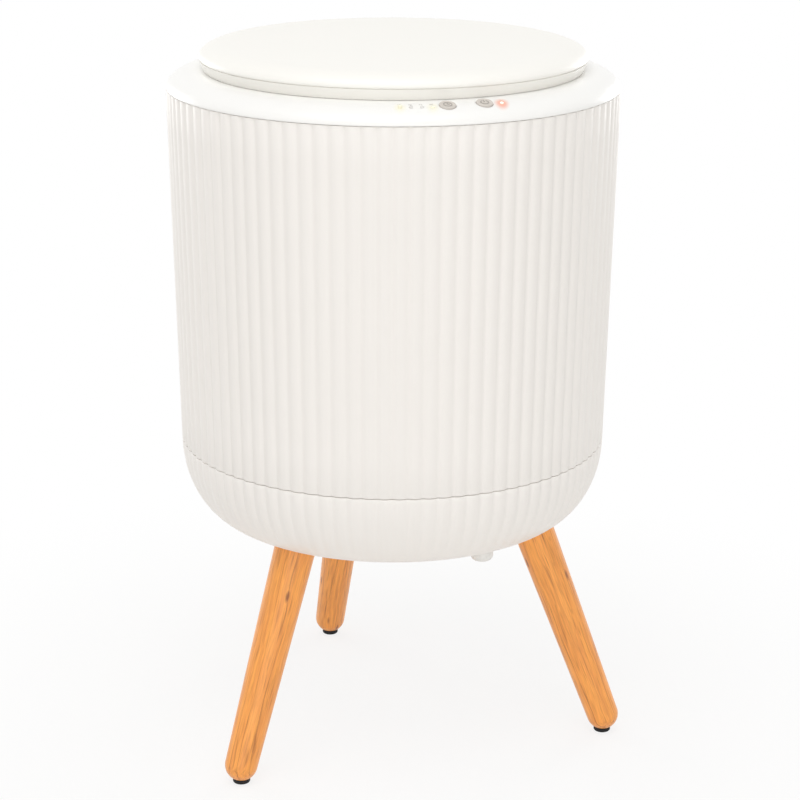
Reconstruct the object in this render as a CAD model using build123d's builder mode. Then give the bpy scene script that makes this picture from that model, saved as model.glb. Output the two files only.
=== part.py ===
from build123d import *
from math import atan, cos, pi, radians, sin, sqrt
import os

# Towel warmer bucket on three splayed legs.
# Millimetres. Origin on the floor under the bucket's axis, +Z up, controls towards -Y.

os.makedirs("parts", exist_ok=True)

# ---------------------------------------------------------------- driving dimensions
# body
body_radius = 160.0            # rib crests at the top of the shell
shell_taper = 5.8              # by which the shell's bottom is smaller in radius
shell_height = 255.8
bowl_height = 58.5
bowl_bottom_z = 167.7
rib_count = 93
rib_depth = 1.2
shell_wall = 2.6               # from the valleys between the ribs to the inside
fit_gap = 0.3                  # clearance of tongues, skirts and loose covers
tongue_height = 8.0
tongue_wall = 2.4

# top ring
ring_shoulder = 26.0           # radial half-axis of the rounded shoulder
ring_rise = 12.3               # its vertical half-axis
ring_wall = 2.6
ring_width = 38.5              # from the opening to the rib crests
ring_seat_thickness = 4.6
ring_edge_round = 1.2

# bowl
bowl_corner = 40.0             # radial half-axis of the rounded corner
bowl_wall = 3.0
rib_fade_angle = 78.0          # where the ribs have died out in the corner, 90 at its foot
rib_sections = 7               # sections of the corner from the seam to there

# inner bucket
bucket_step = 0.5              # by which the bucket is wider in radius than the ring's opening
bucket_wall = 1.0
bucket_drop = 4.0              # from the shell's bottom to the inside floor
bucket_corner = 12.0
flange_width = 11.0
rim_gasket_thickness = 1.0
rim_gasket_width = 8.0
flange_screw_inset = 3.7       # from the flange's edge
flange_screw_count = 6
flange_screw_length = 5.0
flange_screw_hole_depth = 3.2  # up into the ring's seat

# lid
lid_overhang = 2.9             # of the lid's crease beyond the flat of the ring
lid_undercut = 3.3             # from the crease in to the foot, for the fingers
lid_crease_height = 8.75       # above the ring
lid_lift_gap = 0.8             # between the liner and the ring's seat, filled by the gasket
lid_skirt_gap = 0.35           # between the cover's foot and the ring
lid_edge_radial = 20.0
lid_edge_rise = 9.0
lid_crown = 0.5
lid_wall = 2.5
liner_plug_gap = 3.0           # around the plug in the ring's opening
liner_plug_depth = 13.0        # below the ring's seat
liner_wall = 2.2
liner_corner = 6.0
lid_gasket_inset = 1.8         # from the plug and from the liner's edge
lid_screw_inset = 6.1          # outwards from the plug
lid_screw_count = 4
lid_screw_turn = 45.0          # degrees from +X to the first one
lid_boss_radius = 3.5
lid_screw_length = 10.0

# controls
control_inset = 13.7           # of the controls' circle from the rib crests
timer_button_angle = -4.5      # degrees from the front, positive to the right
power_button_angle = 5.5
power_lamp_angle = 10.2
lamp_outset = 2.0              # of the lamps outwards from the buttons' circle
timer_lamp_angles = [-17.0, -14.2, -11.4, -8.6]
button_radius = 5.6
button_gap = 0.3               # around the button in its hole
button_proud = 0.9
button_collar = 0.8            # by which the collar is wider in radius than the button
button_collar_depth = 3.7      # top of the collar under the ring's surface
button_collar_thickness = 1.0
collar_play = 0.1              # between the collar and its stop in the ring
button_travel = 0.8
stem_radius = 2.0
stem_length = 1.6
button_edge_round = 0.6
button_rim = 1.5               # around the button's dish
button_dish_depth = 0.3
switch_side = 6.0
switch_height = 3.5
plunger_radius = 1.7
plunger_proud = 1.2
plunger_sunk = 0.8
plunger_gap = 0.15
lens_radius = 1.3
lens_depth = 6.4
lamp_radius = 1.5
lamp_height = 4.0
board_thickness = 1.6
control_board_width = 14.0
control_board_ends = (-23.0, 16.6)
control_post_angles = [-20.4, 0.6, 14.0]
control_post_radius = 2.8

# heater and insulation
layer_gap = 0.15               # adhesive between wrapped layers
foil_thickness = 0.6
foil_above_floor = 27.0        # from the bucket's inside floor
foil_below_flange = 38.4
wire_radius = 1.0
wire_run_count = 28
wire_bend_stand_off = 0.7
wire_margin = 12.0             # from the foil's edge to the wire's bends
wire_gap_angle = 30.0          # degrees from +X, where the wire's two ends come out
tab_thickness = 0.8
tab_width = 5.2
tab_length = 3.0
blanket_gap = 1.0              # over the heating wire
blanket_thickness = 11.0
blanket_above_floor = 15.0
blanket_below_flange = 26.4
floor_pad_inset = 8.0          # from the pillars' circle
floor_pad_thickness = 7.0
thermostat_radius = 7.5
thermostat_step = 1.5          # by which its cap is smaller in radius
thermostat_height = 6.5
thermostat_x = 45.0
thermostat_room = 1.2          # around it in the insulation
fuse_radius = 2.2
fuse_length = 14.0
fuse_room = 2.2                # beside it in the insulation
fuse_lead_room = 6.6           # beyond its ends
fuse_y = 42.0
sensor_thickness = 3.0
sensor_width = 6.0
sensor_height = 10.0
sensor_angle = 60.0
sensor_above_floor = 11.0
shield_thickness = 0.8
shield_height = 34.5           # above the bowl's bottom

# base screws, caps and pillars
pillar_inset = 2.2             # of the pillars' circle from the edge of the bowl's flat
pillar_angles = [-73.8, 46.2, 166.2]
pillar_outer_radius = 7.0
pillar_upper_radius = 5.2
pillar_bore_radius = 4.2
pillar_web = 3.0               # between the screw head and the weld nut
weld_nut_radius = 5.0
weld_nut_height = 10.0
base_screw_radius = 2.0
base_screw_length = 11.0
base_screw_head_radius = 3.8
base_screw_head_height = 2.6
cap_radius = 8.0
cap_proud = 8.0
cap_round = 4.0
cap_plug_length = 8.0

# legs
leg_angles = {"front_left": -150.0, "front_right": -30.0, "rear": 90.0}
foot_spread = 1.5              # of the feet beyond the rib crests
leg_tilt = 21.1                # from the vertical, outwards
leg_end_radius = 11.7
leg_top_radius = 15.2
leg_reach = 12.4               # from the bowl's bottom up to the centre of the leg's top face
foot_pad_radius = 6.2
foot_pad_lift = 1.8            # floor to the leg's rounded end
foot_pad_height = 4.0
foot_pad_round = 1.5
foot_screw_radius = 1.6
foot_screw_length = 14.0
foot_screw_head_radius = 3.0
foot_screw_head_height = 1.6
foot_screw_seat = 2.1          # above the floor
socket_wall = 2.6
socket_cap = 9.0
socket_depth = 36.0            # the leg's length inside its socket, at the most
insert_radius = 5.5
insert_height = 8.0
bolt_radius = 4.0
bolt_in_leg = 22.0

# power board in the bowl
board_length = 92.0
board_width = 62.0
board_post_height = 6.0
board_post_radius = 3.2
board_screw_inset = 4.5
board_screw_radius = 1.5
board_screw_length = 6.0
board_screw_head_radius = 2.75
board_screw_head_height = 1.8
board_corner = 2.0
relay_x = -24.0
relay_y = 14.0
relay_size = (19.0, 15.0, 15.5)
transformer_x = -18.0
transformer_y = -12.0
transformer_size = (22.0, 18.0, 17.0)
capacitor_x = 8.0
capacitor_y = 14.0
capacitor_radius = 6.3
capacitor_height = 18.0
terminal_x = 33.0
terminal_y = 10.0
terminal_size = (10.0, 24.0, 12.0)
terminal_pitch = 7.5
terminal_screw_radius = 2.0

# cord gland and rating plate
gland_angle = 120.0            # at the back, beside the rear leg
gland_height = 37.5            # above the bowl's bottom
gland_bore_radius = 3.6
gland_radius = 7.0
gland_flange_radius = 10.0
gland_flange_thickness = 2.5
gland_flange_round = 0.8
gland_length = 12.0
gland_panel = 6.0              # thickness of the bowl's boss behind the gland's flange
gland_nut_wall = 3.0
gland_nut_height = 4.0
plate_length = 50.0
plate_width = 30.0
plate_thickness = 0.5
plate_y = 45.0

# leads
harness_radius = 2.2
harness_angle = -10.0          # from the front
harness_below_shell = 7.0      # from the shell's bottom to where the harness turns in
harness_inset = 0.2            # of its low point from the edge of the bowl's flat
harness_height = 21.5          # of its low point above the bowl's bottom
harness_bend = 16.0
plug_size = (12.0, 6.0, 8.0)
lower_plug_x = 12.0
lower_plug_y = -24.0
lead_radius = 1.4
lead_height = 27.5             # above the bowl's bottom, where the leads turn in
lead_bend = 10.0
lead_run = 25.0                # straight run of a lead beside what it goes into


def save(builder, name):
    """Label a finished sub-part and write it as the STEP file of its node."""
    builder.part.label = name
    export_step(builder.part, f"parts/{name}.step")


# ---------------------------------------------------------------- worked-out places
bowl_seam_z = bowl_bottom_z + bowl_height
ring_seam_z = bowl_seam_z + shell_height
shell_bottom_radius = body_radius - shell_taper
seat_radius = body_radius - ring_shoulder
seat_z = ring_seam_z + ring_rise
seat_under_z = seat_z - ring_seat_thickness
ring_opening_radius = body_radius - ring_width
shell_inside_top = body_radius - rib_depth - shell_wall
shell_inside_bottom = shell_bottom_radius - rib_depth - shell_wall
flat_bottom_radius = shell_bottom_radius - bowl_corner
bowl_floor_z = bowl_bottom_z + bowl_wall
gasket_under_z = seat_under_z - rim_gasket_thickness
flange_under_z = gasket_under_z - bucket_wall
bucket_radius = ring_opening_radius + bucket_step
bucket_outer_radius = bucket_radius + bucket_wall
bucket_floor_z = bowl_seam_z - bucket_drop
bucket_under_z = bucket_floor_z - bucket_wall
flange_radius = bucket_radius + flange_width
flange_screw_radius = flange_radius - flange_screw_inset
flange_holes = [i * 360 / flange_screw_count for i in range(flange_screw_count)]
foot_circle_radius = body_radius + foot_spread
pillar_circle_radius = flat_bottom_radius - pillar_inset
shield_z = bowl_bottom_z + shield_height

control_radius = body_radius - control_inset
drop = (control_radius - seat_radius) / ring_shoulder
control_z = ring_seam_z + ring_rise * sqrt(1 - drop**2)
control_tilt = atan(ring_rise * drop / (ring_shoulder * sqrt(1 - drop**2)))
control_plane = Plane(
    origin=(0, -control_radius, control_z),
    x_dir=(1, 0, 0),
    z_dir=(0, -sin(control_tilt), cos(control_tilt)),
)
collar_top = -button_collar_depth
stem_top = collar_top - button_collar_thickness
stem_end = stem_top - stem_length
switch_top = stem_end - plunger_proud
board_top = switch_top - switch_height
button_collar_radius = button_radius + button_collar


def spot(angle, height):
    """Plane over a control at an angle from the front, at a height above the ring's surface there."""
    turn = radians(angle)
    across = control_radius * sin(turn)
    inwards = control_radius * (1 - cos(turn)) * cos(control_tilt)
    return Plane(
        origin=control_plane.from_local_coords(Vector(across, inwards, height)),
        x_dir=control_plane.x_dir,
        z_dir=control_plane.z_dir,
    )


def lamp_spot(angle, height):
    """Plane over a lamp, which stands further out on the ring than the buttons."""
    plane = spot(angle, height)
    return Plane(
        origin=plane.from_local_coords(Vector(0, -lamp_outset, 0)),
        x_dir=plane.x_dir,
        z_dir=plane.z_dir,
    )


def polar(radius, angle, height):
    """Point at a distance from the axis, an angle in degrees from +X and a height."""
    return Vector(radius * cos(radians(angle)), radius * sin(radians(angle)), height)


def level(radius, angle, height):
    """Level plane over such a point, its x direction pointing outwards."""
    return Plane(origin=polar(radius, angle, height), x_dir=polar(1, angle, 0), z_dir=(0, 0, 1))


def ribbed_section(radius, depth, height):
    """Level section bounded by convex ribs, whose arcs meet in the valleys between them."""
    step = 2 * pi / rib_count
    with BuildLine() as outline:
        for i in range(rib_count):
            start = i * step
            middle = start + step / 2
            end = start + step
            valley = radius - depth
            ThreePointArc(
                (valley * cos(start), valley * sin(start)),
                (radius * cos(middle), radius * sin(middle)),
                (valley * cos(end), valley * sin(end)),
            )
    with BuildSketch(Plane.XY.offset(height)) as section:
        make_face(outline.line)
    return section.sketch


def disc(plane, radius, amount, mode=Mode.ADD):
    """Round solid from a plane, along its normal or against it."""
    with BuildSketch(plane) as section:
        Circle(radius)
    extrude(section.sketch, amount=amount, mode=mode)


def tube(plane, outer, inner, amount):
    """Round tube from a plane."""
    with BuildSketch(plane) as section:
        Circle(outer)
        Circle(inner, mode=Mode.SUBTRACT)
    extrude(section.sketch, amount=amount)


def block(plane, length, width, amount, mode=Mode.ADD):
    """Rectangular solid from a plane."""
    with BuildSketch(plane) as section:
        Rectangle(length, width)
    extrude(section.sketch, amount=amount, mode=mode)


def pan_screw(seat, radius, length, head_radius, head_height):
    """Pan-head screw with a cross recess: its thread runs along the seat plane's normal."""
    disc(seat, head_radius, -head_height)
    disc(seat, radius, length)
    for turn in (0, 90):
        with BuildSketch(seat.offset(-head_height)) as slot:
            Rectangle(head_radius * 1.2, head_radius * 0.25, rotation=turn)
        extrude(slot.sketch, amount=head_height / 2, mode=Mode.SUBTRACT)


def lead(points, bends, radius):
    """Round lead along straight runs joined by tangent arcs."""
    with BuildLine() as route:
        FilletPolyline(*points, radius=bends)
    with BuildSketch(Plane(origin=route.line @ 0, z_dir=route.line % 0)) as section:
        Circle(radius)
    sweep(section.sketch, path=route.line)


# ---------------------------------------------------------------- top ring
with BuildPart(mode=Mode.PRIVATE) as ring_outside:
    with BuildSketch(Plane.XZ):
        with BuildLine():
            Line((0, ring_seam_z), (0, seat_z))
            Line((0, seat_z), (seat_radius, seat_z))
            EllipticalCenterArc((seat_radius, ring_seam_z), ring_shoulder, ring_rise, 0, arc_size=90)
            Line((body_radius, ring_seam_z), (0, ring_seam_z))
        make_face()
    revolve(axis=Axis.Z)

skirt_outer = shell_inside_top - fit_gap
skirt_inner = skirt_outer - tongue_wall
with BuildPart(mode=Mode.PRIVATE) as control_posts:
    for angle in control_post_angles:
        disc(spot(angle, board_top), control_post_radius, -board_top + ring_wall)
    add(ring_outside.part.moved(Location((0, 0, -ring_wall / 3))), mode=Mode.INTERSECT)

with BuildPart() as top_ring:
    with BuildSketch(Plane.XZ):
        with BuildLine():
            Line((ring_opening_radius, seat_z), (seat_radius, seat_z))
            EllipticalCenterArc((seat_radius, ring_seam_z), ring_shoulder, ring_rise, 0, arc_size=90)
            Polyline(
                (body_radius, ring_seam_z),
                (skirt_outer, ring_seam_z),
                (skirt_outer, ring_seam_z - tongue_height),
                (skirt_inner, ring_seam_z - tongue_height),
                (skirt_inner, ring_seam_z),
            )
            EllipticalCenterArc(
                (seat_radius, ring_seam_z), skirt_inner - seat_radius, ring_rise - ring_wall, 0, arc_size=90
            )
            Polyline(
                (seat_radius, seat_z - ring_wall),
                (seat_radius, seat_under_z),
                (ring_opening_radius, seat_under_z),
                (ring_opening_radius, seat_z),
            )
        make_face()
    revolve(axis=Axis.Z)
    inner_edge = edges().filter_by(GeomType.CIRCLE).group_by(SortBy.RADIUS)[0].sort_by(Axis.Z)[-1]
    fillet(inner_edge, ring_edge_round)
    add(control_posts.part)
    for angle in (timer_button_angle, power_button_angle):
        disc(spot(angle, collar_top), button_radius + button_gap, 2 * button_collar_depth, Mode.SUBTRACT)
        collar_stop = spot(angle, collar_top + collar_play)
        disc(collar_stop, button_collar_radius + button_gap, board_top, Mode.SUBTRACT)
    for angle in [power_lamp_angle] + timer_lamp_angles:
        disc(lamp_spot(angle, board_top), lens_radius, -2 * board_top, Mode.SUBTRACT)
    for angle in control_post_angles:
        post_face = spot(angle, board_top)
        disc(post_face, board_screw_radius, board_screw_length - board_thickness, Mode.SUBTRACT)
    for angle in flange_holes:
        hole = level(flange_screw_radius, angle, seat_under_z)
        disc(hole, board_screw_radius, flange_screw_hole_depth, Mode.SUBTRACT)
save(top_ring, "top_ring")

# ---------------------------------------------------------------- body shell
with BuildPart() as body_shell:
    add(ribbed_section(shell_bottom_radius, rib_depth, bowl_seam_z))
    add(ribbed_section(body_radius, rib_depth, ring_seam_z))
    loft(ruled=True)
    with BuildSketch(Plane.XY.offset(bowl_seam_z)):
        Circle(shell_inside_bottom)
    with BuildSketch(Plane.XY.offset(ring_seam_z)):
        Circle(shell_inside_top)
    loft(ruled=True, mode=Mode.SUBTRACT)
save(body_shell, "body_shell")

# ---------------------------------------------------------------- legs, used below to cut their sockets
leg_slope = radians(leg_tilt)
leg_end_z = foot_pad_lift + leg_end_radius
leg_length = (bowl_bottom_z + leg_reach - leg_end_z) / cos(leg_slope)


def leg_plane(angle, along):
    """Plane across a leg's axis, at a distance up it from the centre of its rounded end."""
    radius = foot_circle_radius - along * sin(leg_slope)
    height = leg_end_z + along * cos(leg_slope)
    axis = polar(-sin(leg_slope), angle, cos(leg_slope))
    side = polar(1, angle + 90, 0)
    return Plane(origin=polar(radius, angle, height), x_dir=side, z_dir=axis)


def leg_section(angle, along, growth=0.0):
    """Round section across a leg, larger all round by the growth."""
    radius = leg_end_radius + (leg_top_radius - leg_end_radius) * along / leg_length
    with BuildSketch(leg_plane(angle, along)) as section:
        Circle(radius + growth)
    return section.sketch


# ---------------------------------------------------------------- base bowl
def bowl_corner_point(turn):
    """Point of the bowl's rounded corner: 0 degrees at the seam, 90 at its flat bottom."""
    return (
        flat_bottom_radius + bowl_corner * cos(radians(turn)),
        bowl_seam_z - bowl_height * sin(radians(turn)),
    )


def bowl_corner_radius(height):
    """Radius of the bowl's outside at a height in its rounded corner."""
    return flat_bottom_radius + bowl_corner * sqrt(1 - ((bowl_seam_z - height) / bowl_height) ** 2)


fade_radius, fade_z = bowl_corner_point(rib_fade_angle)
tongue_outer = shell_inside_bottom - fit_gap
tongue_inner = tongue_outer - tongue_wall
socket_top = leg_length + socket_cap
pillar_top_z = bucket_under_z - weld_nut_height
screw_seat_z = pillar_top_z - pillar_web
board_under_z = bowl_floor_z + board_post_height
post_x = board_length / 2 - board_screw_inset
post_y = board_width / 2 - board_screw_inset
gland_z = bowl_bottom_z + gland_height
gland_seat_radius = bowl_corner_radius(gland_z) - gland_flange_thickness - rib_depth


def gland_plane(radius):
    """Upright plane across the cord gland's axis, facing outwards."""
    return Plane(origin=polar(radius, gland_angle, gland_z), z_dir=polar(1, gland_angle, 0))


with BuildPart(mode=Mode.PRIVATE) as bowl_bosses:
    for angle in leg_angles.values():
        add(leg_section(angle, leg_length - socket_depth + socket_cap, fit_gap + socket_wall))
        add(leg_section(angle, socket_top, fit_gap + socket_wall))
        loft()
    for angle in pillar_angles:
        pillar_foot = level(pillar_circle_radius, angle, bowl_bottom_z)
        disc(pillar_foot, pillar_outer_radius, shield_height)
        disc(pillar_foot, pillar_upper_radius, pillar_top_z - bowl_bottom_z)
    for x in (-post_x, post_x):
        for y in (-post_y, post_y):
            disc(Plane((x, y, bowl_bottom_z)), board_post_radius, board_under_z - bowl_bottom_z)
    disc(gland_plane(gland_seat_radius), gland_flange_radius + bowl_wall, -gland_panel)
    disc(gland_plane(gland_seat_radius), gland_flange_radius + bowl_wall, bowl_wall)
    with BuildSketch(Plane.XZ):
        with BuildLine():
            Polyline(
                (flat_bottom_radius, bowl_bottom_z + bowl_wall / 2),
                (0, bowl_bottom_z + bowl_wall / 2),
                (0, body_radius * 2),
                (shell_bottom_radius - bowl_wall, body_radius * 2),
                (shell_bottom_radius - bowl_wall, bowl_seam_z),
            )
            EllipticalCenterArc(
                (flat_bottom_radius, bowl_seam_z),
                bowl_corner - bowl_wall,
                bowl_height - bowl_wall / 2,
                -90,
                arc_size=90,
            )
        make_face()
    revolve(axis=Axis.Z, mode=Mode.INTERSECT)

with BuildPart() as base_bowl:
    for i in range(rib_sections):
        share = i / (rib_sections - 1)
        radius, height = bowl_corner_point(share * rib_fade_angle)
        add(ribbed_section(radius, rib_depth * (1 - share), height))
    loft()
    with BuildSketch(Plane.XZ):
        with BuildLine():
            Polyline(
                (flat_bottom_radius, bowl_bottom_z),
                (0, bowl_bottom_z),
                (0, fade_z),
                (fade_radius, fade_z),
            )
            EllipticalCenterArc(
                (flat_bottom_radius, bowl_seam_z),
                bowl_corner,
                bowl_height,
                -90,
                arc_size=90 - rib_fade_angle,
            )
        make_face()
    revolve(axis=Axis.Z)
    with BuildSketch(Plane.XZ):
        with BuildLine():
            Polyline(
                (flat_bottom_radius, bowl_floor_z),
                (0, bowl_floor_z),
                (0, bowl_seam_z),
                (tongue_inner, bowl_seam_z),
            )
            EllipticalCenterArc(
                (flat_bottom_radius, bowl_seam_z),
                tongue_inner - flat_bottom_radius,
                bowl_height - bowl_wall,
                -90,
                arc_size=90,
            )
        make_face()
    revolve(axis=Axis.Z, mode=Mode.SUBTRACT)
    tube(Plane.XY.offset(bowl_seam_z), tongue_outer, tongue_inner, tongue_height)
    add(bowl_bosses.part)
    for angle in leg_angles.values():
        add(leg_section(angle, leg_length - socket_depth, fit_gap))
        add(leg_section(angle, leg_length, fit_gap))
        loft(mode=Mode.SUBTRACT)
        disc(leg_plane(angle, leg_length), insert_radius, insert_height, Mode.SUBTRACT)
    for angle in pillar_angles:
        mouth = level(pillar_circle_radius, angle, bowl_bottom_z)
        disc(mouth, pillar_bore_radius, screw_seat_z - bowl_bottom_z, Mode.SUBTRACT)
        disc(mouth, base_screw_radius, pillar_top_z - bowl_bottom_z, Mode.SUBTRACT)
    for x in (-post_x, post_x):
        for y in (-post_y, post_y):
            disc(Plane((x, y, board_under_z)), board_screw_radius, -board_post_height, Mode.SUBTRACT)
    disc(gland_plane(gland_seat_radius), gland_flange_radius + fit_gap, gland_length, Mode.SUBTRACT)
    disc(gland_plane(gland_seat_radius), gland_radius, -gland_length, Mode.SUBTRACT)
save(base_bowl, "base_bowl")

# ---------------------------------------------------------------- legs and their fixings
for place, angle in leg_angles.items():
    foot = level(foot_circle_radius, angle, 0)
    with BuildPart() as leg:
        add(leg_section(angle, 0))
        add(leg_section(angle, leg_length))
        loft()
        with Locations(leg_plane(angle, 0)):
            Sphere(leg_end_radius)
        disc(foot, foot_pad_radius + fit_gap, foot_pad_height, Mode.SUBTRACT)
        disc(foot, foot_screw_radius, foot_screw_seat + foot_screw_length, Mode.SUBTRACT)
        disc(leg_plane(angle, leg_length), bolt_radius, -bolt_in_leg, Mode.SUBTRACT)
    save(leg, f"leg_{place}")
    with BuildPart() as foot_pad:
        disc(foot, foot_pad_radius, foot_pad_height)
        fillet(edges().group_by(Axis.Z)[0], foot_pad_round)
        disc(foot, foot_screw_head_radius + fit_gap, foot_screw_seat, Mode.SUBTRACT)
        disc(foot, foot_screw_radius, foot_pad_height, Mode.SUBTRACT)
    save(foot_pad, f"foot_pad_{place}")

with BuildPart() as foot_screws:
    for angle in leg_angles.values():
        pan_screw(
            level(foot_circle_radius, angle, foot_screw_seat),
            foot_screw_radius,
            foot_screw_length,
            foot_screw_head_radius,
            foot_screw_head_height,
        )
save(foot_screws, "foot_screws")

with BuildPart() as leg_inserts:
    for angle in leg_angles.values():
        tube(leg_plane(angle, leg_length), insert_radius, bolt_radius, insert_height)
save(leg_inserts, "leg_inserts")

with BuildPart() as leg_bolts:
    for angle in leg_angles.values():
        disc(leg_plane(angle, leg_length - bolt_in_leg), bolt_radius, bolt_in_leg + insert_height - fit_gap)
    chamfer(edges().filter_by(GeomType.CIRCLE), bolt_radius / 5)
save(leg_bolts, "leg_bolts")

# ---------------------------------------------------------------- inner bucket and its seal
with BuildPart() as inner_bucket:
    with BuildSketch(Plane.XZ):
        with BuildLine():
            FilletPolyline(
                (0, bucket_under_z),
                (bucket_outer_radius, bucket_under_z),
                (bucket_outer_radius, flange_under_z),
                radius=bucket_corner + bucket_wall,
            )
            Polyline(
                (bucket_outer_radius, flange_under_z),
                (flange_radius, flange_under_z),
                (flange_radius, gasket_under_z),
                (bucket_radius, gasket_under_z),
            )
            FilletPolyline(
                (bucket_radius, gasket_under_z),
                (bucket_radius, bucket_floor_z),
                (0, bucket_floor_z),
                radius=bucket_corner,
            )
            Line((0, bucket_floor_z), (0, bucket_under_z))
        make_face()
    revolve(axis=Axis.Z)
    for angle in flange_holes:
        hole = level(flange_screw_radius, angle, flange_under_z)
        disc(hole, board_screw_radius, bucket_wall, Mode.SUBTRACT)
save(inner_bucket, "inner_bucket")

with BuildPart() as rim_gasket:
    tube(
        Plane.XY.offset(gasket_under_z),
        flange_radius,
        flange_radius - rim_gasket_width,
        rim_gasket_thickness,
    )
    for angle in flange_holes:
        hole = level(flange_screw_radius, angle, gasket_under_z)
        disc(hole, board_screw_radius, rim_gasket_thickness, Mode.SUBTRACT)
save(rim_gasket, "rim_gasket")

with BuildPart() as flange_screws:
    for angle in flange_holes:
        pan_screw(
            level(flange_screw_radius, angle, flange_under_z),
            board_screw_radius,
            flange_screw_length,
            board_screw_head_radius,
            board_screw_head_height,
        )
save(flange_screws, "flange_screws")

with BuildPart() as weld_nuts:
    for angle in pillar_angles:
        under_nut = level(pillar_circle_radius, angle, pillar_top_z)
        tube(under_nut, weld_nut_radius, base_screw_radius, weld_nut_height)
save(weld_nuts, "weld_nuts")

with BuildPart() as base_screws:
    for angle in pillar_angles:
        pan_screw(
            level(pillar_circle_radius, angle, screw_seat_z),
            base_screw_radius,
            base_screw_length,
            base_screw_head_radius,
            base_screw_head_height,
        )
save(base_screws, "base_screws")

with BuildPart() as bumper_caps:
    for angle in pillar_angles:
        disc(level(pillar_circle_radius, angle, bowl_bottom_z), cap_radius, -cap_proud)
    fillet(edges().group_by(Axis.Z)[0], cap_round)
    for angle in pillar_angles:
        disc(level(pillar_circle_radius, angle, bowl_bottom_z), pillar_bore_radius, cap_plug_length)
save(bumper_caps, "bumper_caps")

# ---------------------------------------------------------------- heater and insulation
foil_inner_radius = bucket_outer_radius + layer_gap
foil_outer_radius = foil_inner_radius + foil_thickness
foil_bottom_z = bucket_floor_z + foil_above_floor
foil_top_z = flange_under_z - foil_below_flange
with BuildPart() as heater_foil:
    tube(Plane.XY.offset(foil_bottom_z), foil_outer_radius, foil_inner_radius, foil_top_z - foil_bottom_z)
save(heater_foil, "heater_foil")

wire_circle_radius = foil_outer_radius + layer_gap + wire_radius + wire_bend_stand_off
wire_step = 360 / wire_run_count
wire_bend_radius = wire_circle_radius * sin(radians(wire_step / 2))
wire_low_z = foil_bottom_z + wire_margin + wire_bend_radius
wire_high_z = foil_top_z - wire_margin - wire_bend_radius
wire_start_angle = wire_gap_angle + wire_step / 2
wire_end_angle = wire_gap_angle - wire_step / 2
with BuildPart() as heating_wire:
    with BuildLine() as wire_route:
        for i in range(wire_run_count):
            angle = wire_start_angle + i * wire_step
            upwards = i % 2 == 0
            first_z = wire_low_z if upwards else wire_high_z
            last_z = wire_high_z if upwards else wire_low_z
            if i == 0:
                first_z = foil_bottom_z
            if i == wire_run_count - 1:
                last_z = foil_bottom_z
            run_start = polar(wire_circle_radius, angle, first_z)
            run_end = polar(wire_circle_radius, angle, last_z)
            Line(run_start, run_end)
            if i < wire_run_count - 1:
                next_start = polar(wire_circle_radius, angle + wire_step, last_z)
                bend_rise = wire_bend_radius if upwards else -wire_bend_radius
                ThreePointArc(run_end, (run_end + next_start) / 2 + Vector(0, 0, bend_rise), next_start)
    with BuildSketch(Plane(origin=wire_route.line @ 0, z_dir=wire_route.line % 0)):
        Circle(wire_radius)
    sweep(path=wire_route.line)
save(heating_wire, "heating_wire")

blanket_inner_radius = wire_circle_radius + wire_radius + blanket_gap
blanket_bottom_z = bucket_floor_z + blanket_above_floor
blanket_top_z = flange_under_z - blanket_below_flange
with BuildPart() as insulation_blanket:
    tube(
        Plane.XY.offset(blanket_bottom_z),
        blanket_inner_radius + blanket_thickness,
        blanket_inner_radius,
        blanket_top_z - blanket_bottom_z,
    )
save(insulation_blanket, "insulation_blanket")

pad_under_z = bucket_under_z - floor_pad_thickness
with BuildPart() as floor_insulation:
    disc(Plane.XY.offset(pad_under_z), pillar_circle_radius - floor_pad_inset, floor_pad_thickness)
    disc(
        Plane((thermostat_x, 0, pad_under_z)),
        thermostat_radius + thermostat_room,
        floor_pad_thickness,
        Mode.SUBTRACT,
    )
    block(
        Plane((0, fuse_y, pad_under_z)),
        fuse_length + 2 * fuse_lead_room,
        2 * (fuse_radius + fuse_room),
        floor_pad_thickness,
        Mode.SUBTRACT,
    )
save(floor_insulation, "floor_insulation")

with BuildPart() as thermostat:
    seat = Plane((thermostat_x, 0, bucket_under_z))
    disc(seat, thermostat_radius, -thermostat_height / 2)
    disc(seat, thermostat_radius - thermostat_step, -thermostat_height)
    for side in (-1, 1):
        block(
            Plane((thermostat_x + side * thermostat_radius / 2, 0, bucket_under_z - thermostat_height)),
            tab_thickness,
            tab_width,
            -tab_length,
        )
save(thermostat, "thermostat")

with BuildPart() as thermal_fuse:
    disc(
        Plane(origin=(-fuse_length / 2, fuse_y, bucket_under_z - fuse_radius - layer_gap), z_dir=(1, 0, 0)),
        fuse_radius,
        fuse_length,
    )
save(thermal_fuse, "thermal_fuse")

with BuildPart() as temperature_sensor:
    block(
        level(foil_inner_radius + sensor_thickness / 2, sensor_angle, bucket_floor_z + sensor_above_floor),
        sensor_thickness,
        sensor_width,
        sensor_height,
    )
    fillet(edges().filter_by(Axis.Z), sensor_thickness / 4)
save(temperature_sensor, "temperature_sensor")

with BuildPart() as heat_shield:
    disc(Plane.XY.offset(shield_z), pillar_circle_radius + pillar_outer_radius, shield_thickness)
    for angle in pillar_angles:
        disc(
            level(pillar_circle_radius, angle, shield_z),
            pillar_upper_radius + fit_gap,
            shield_thickness,
            Mode.SUBTRACT,
        )
save(heat_shield, "heat_shield")

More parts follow.
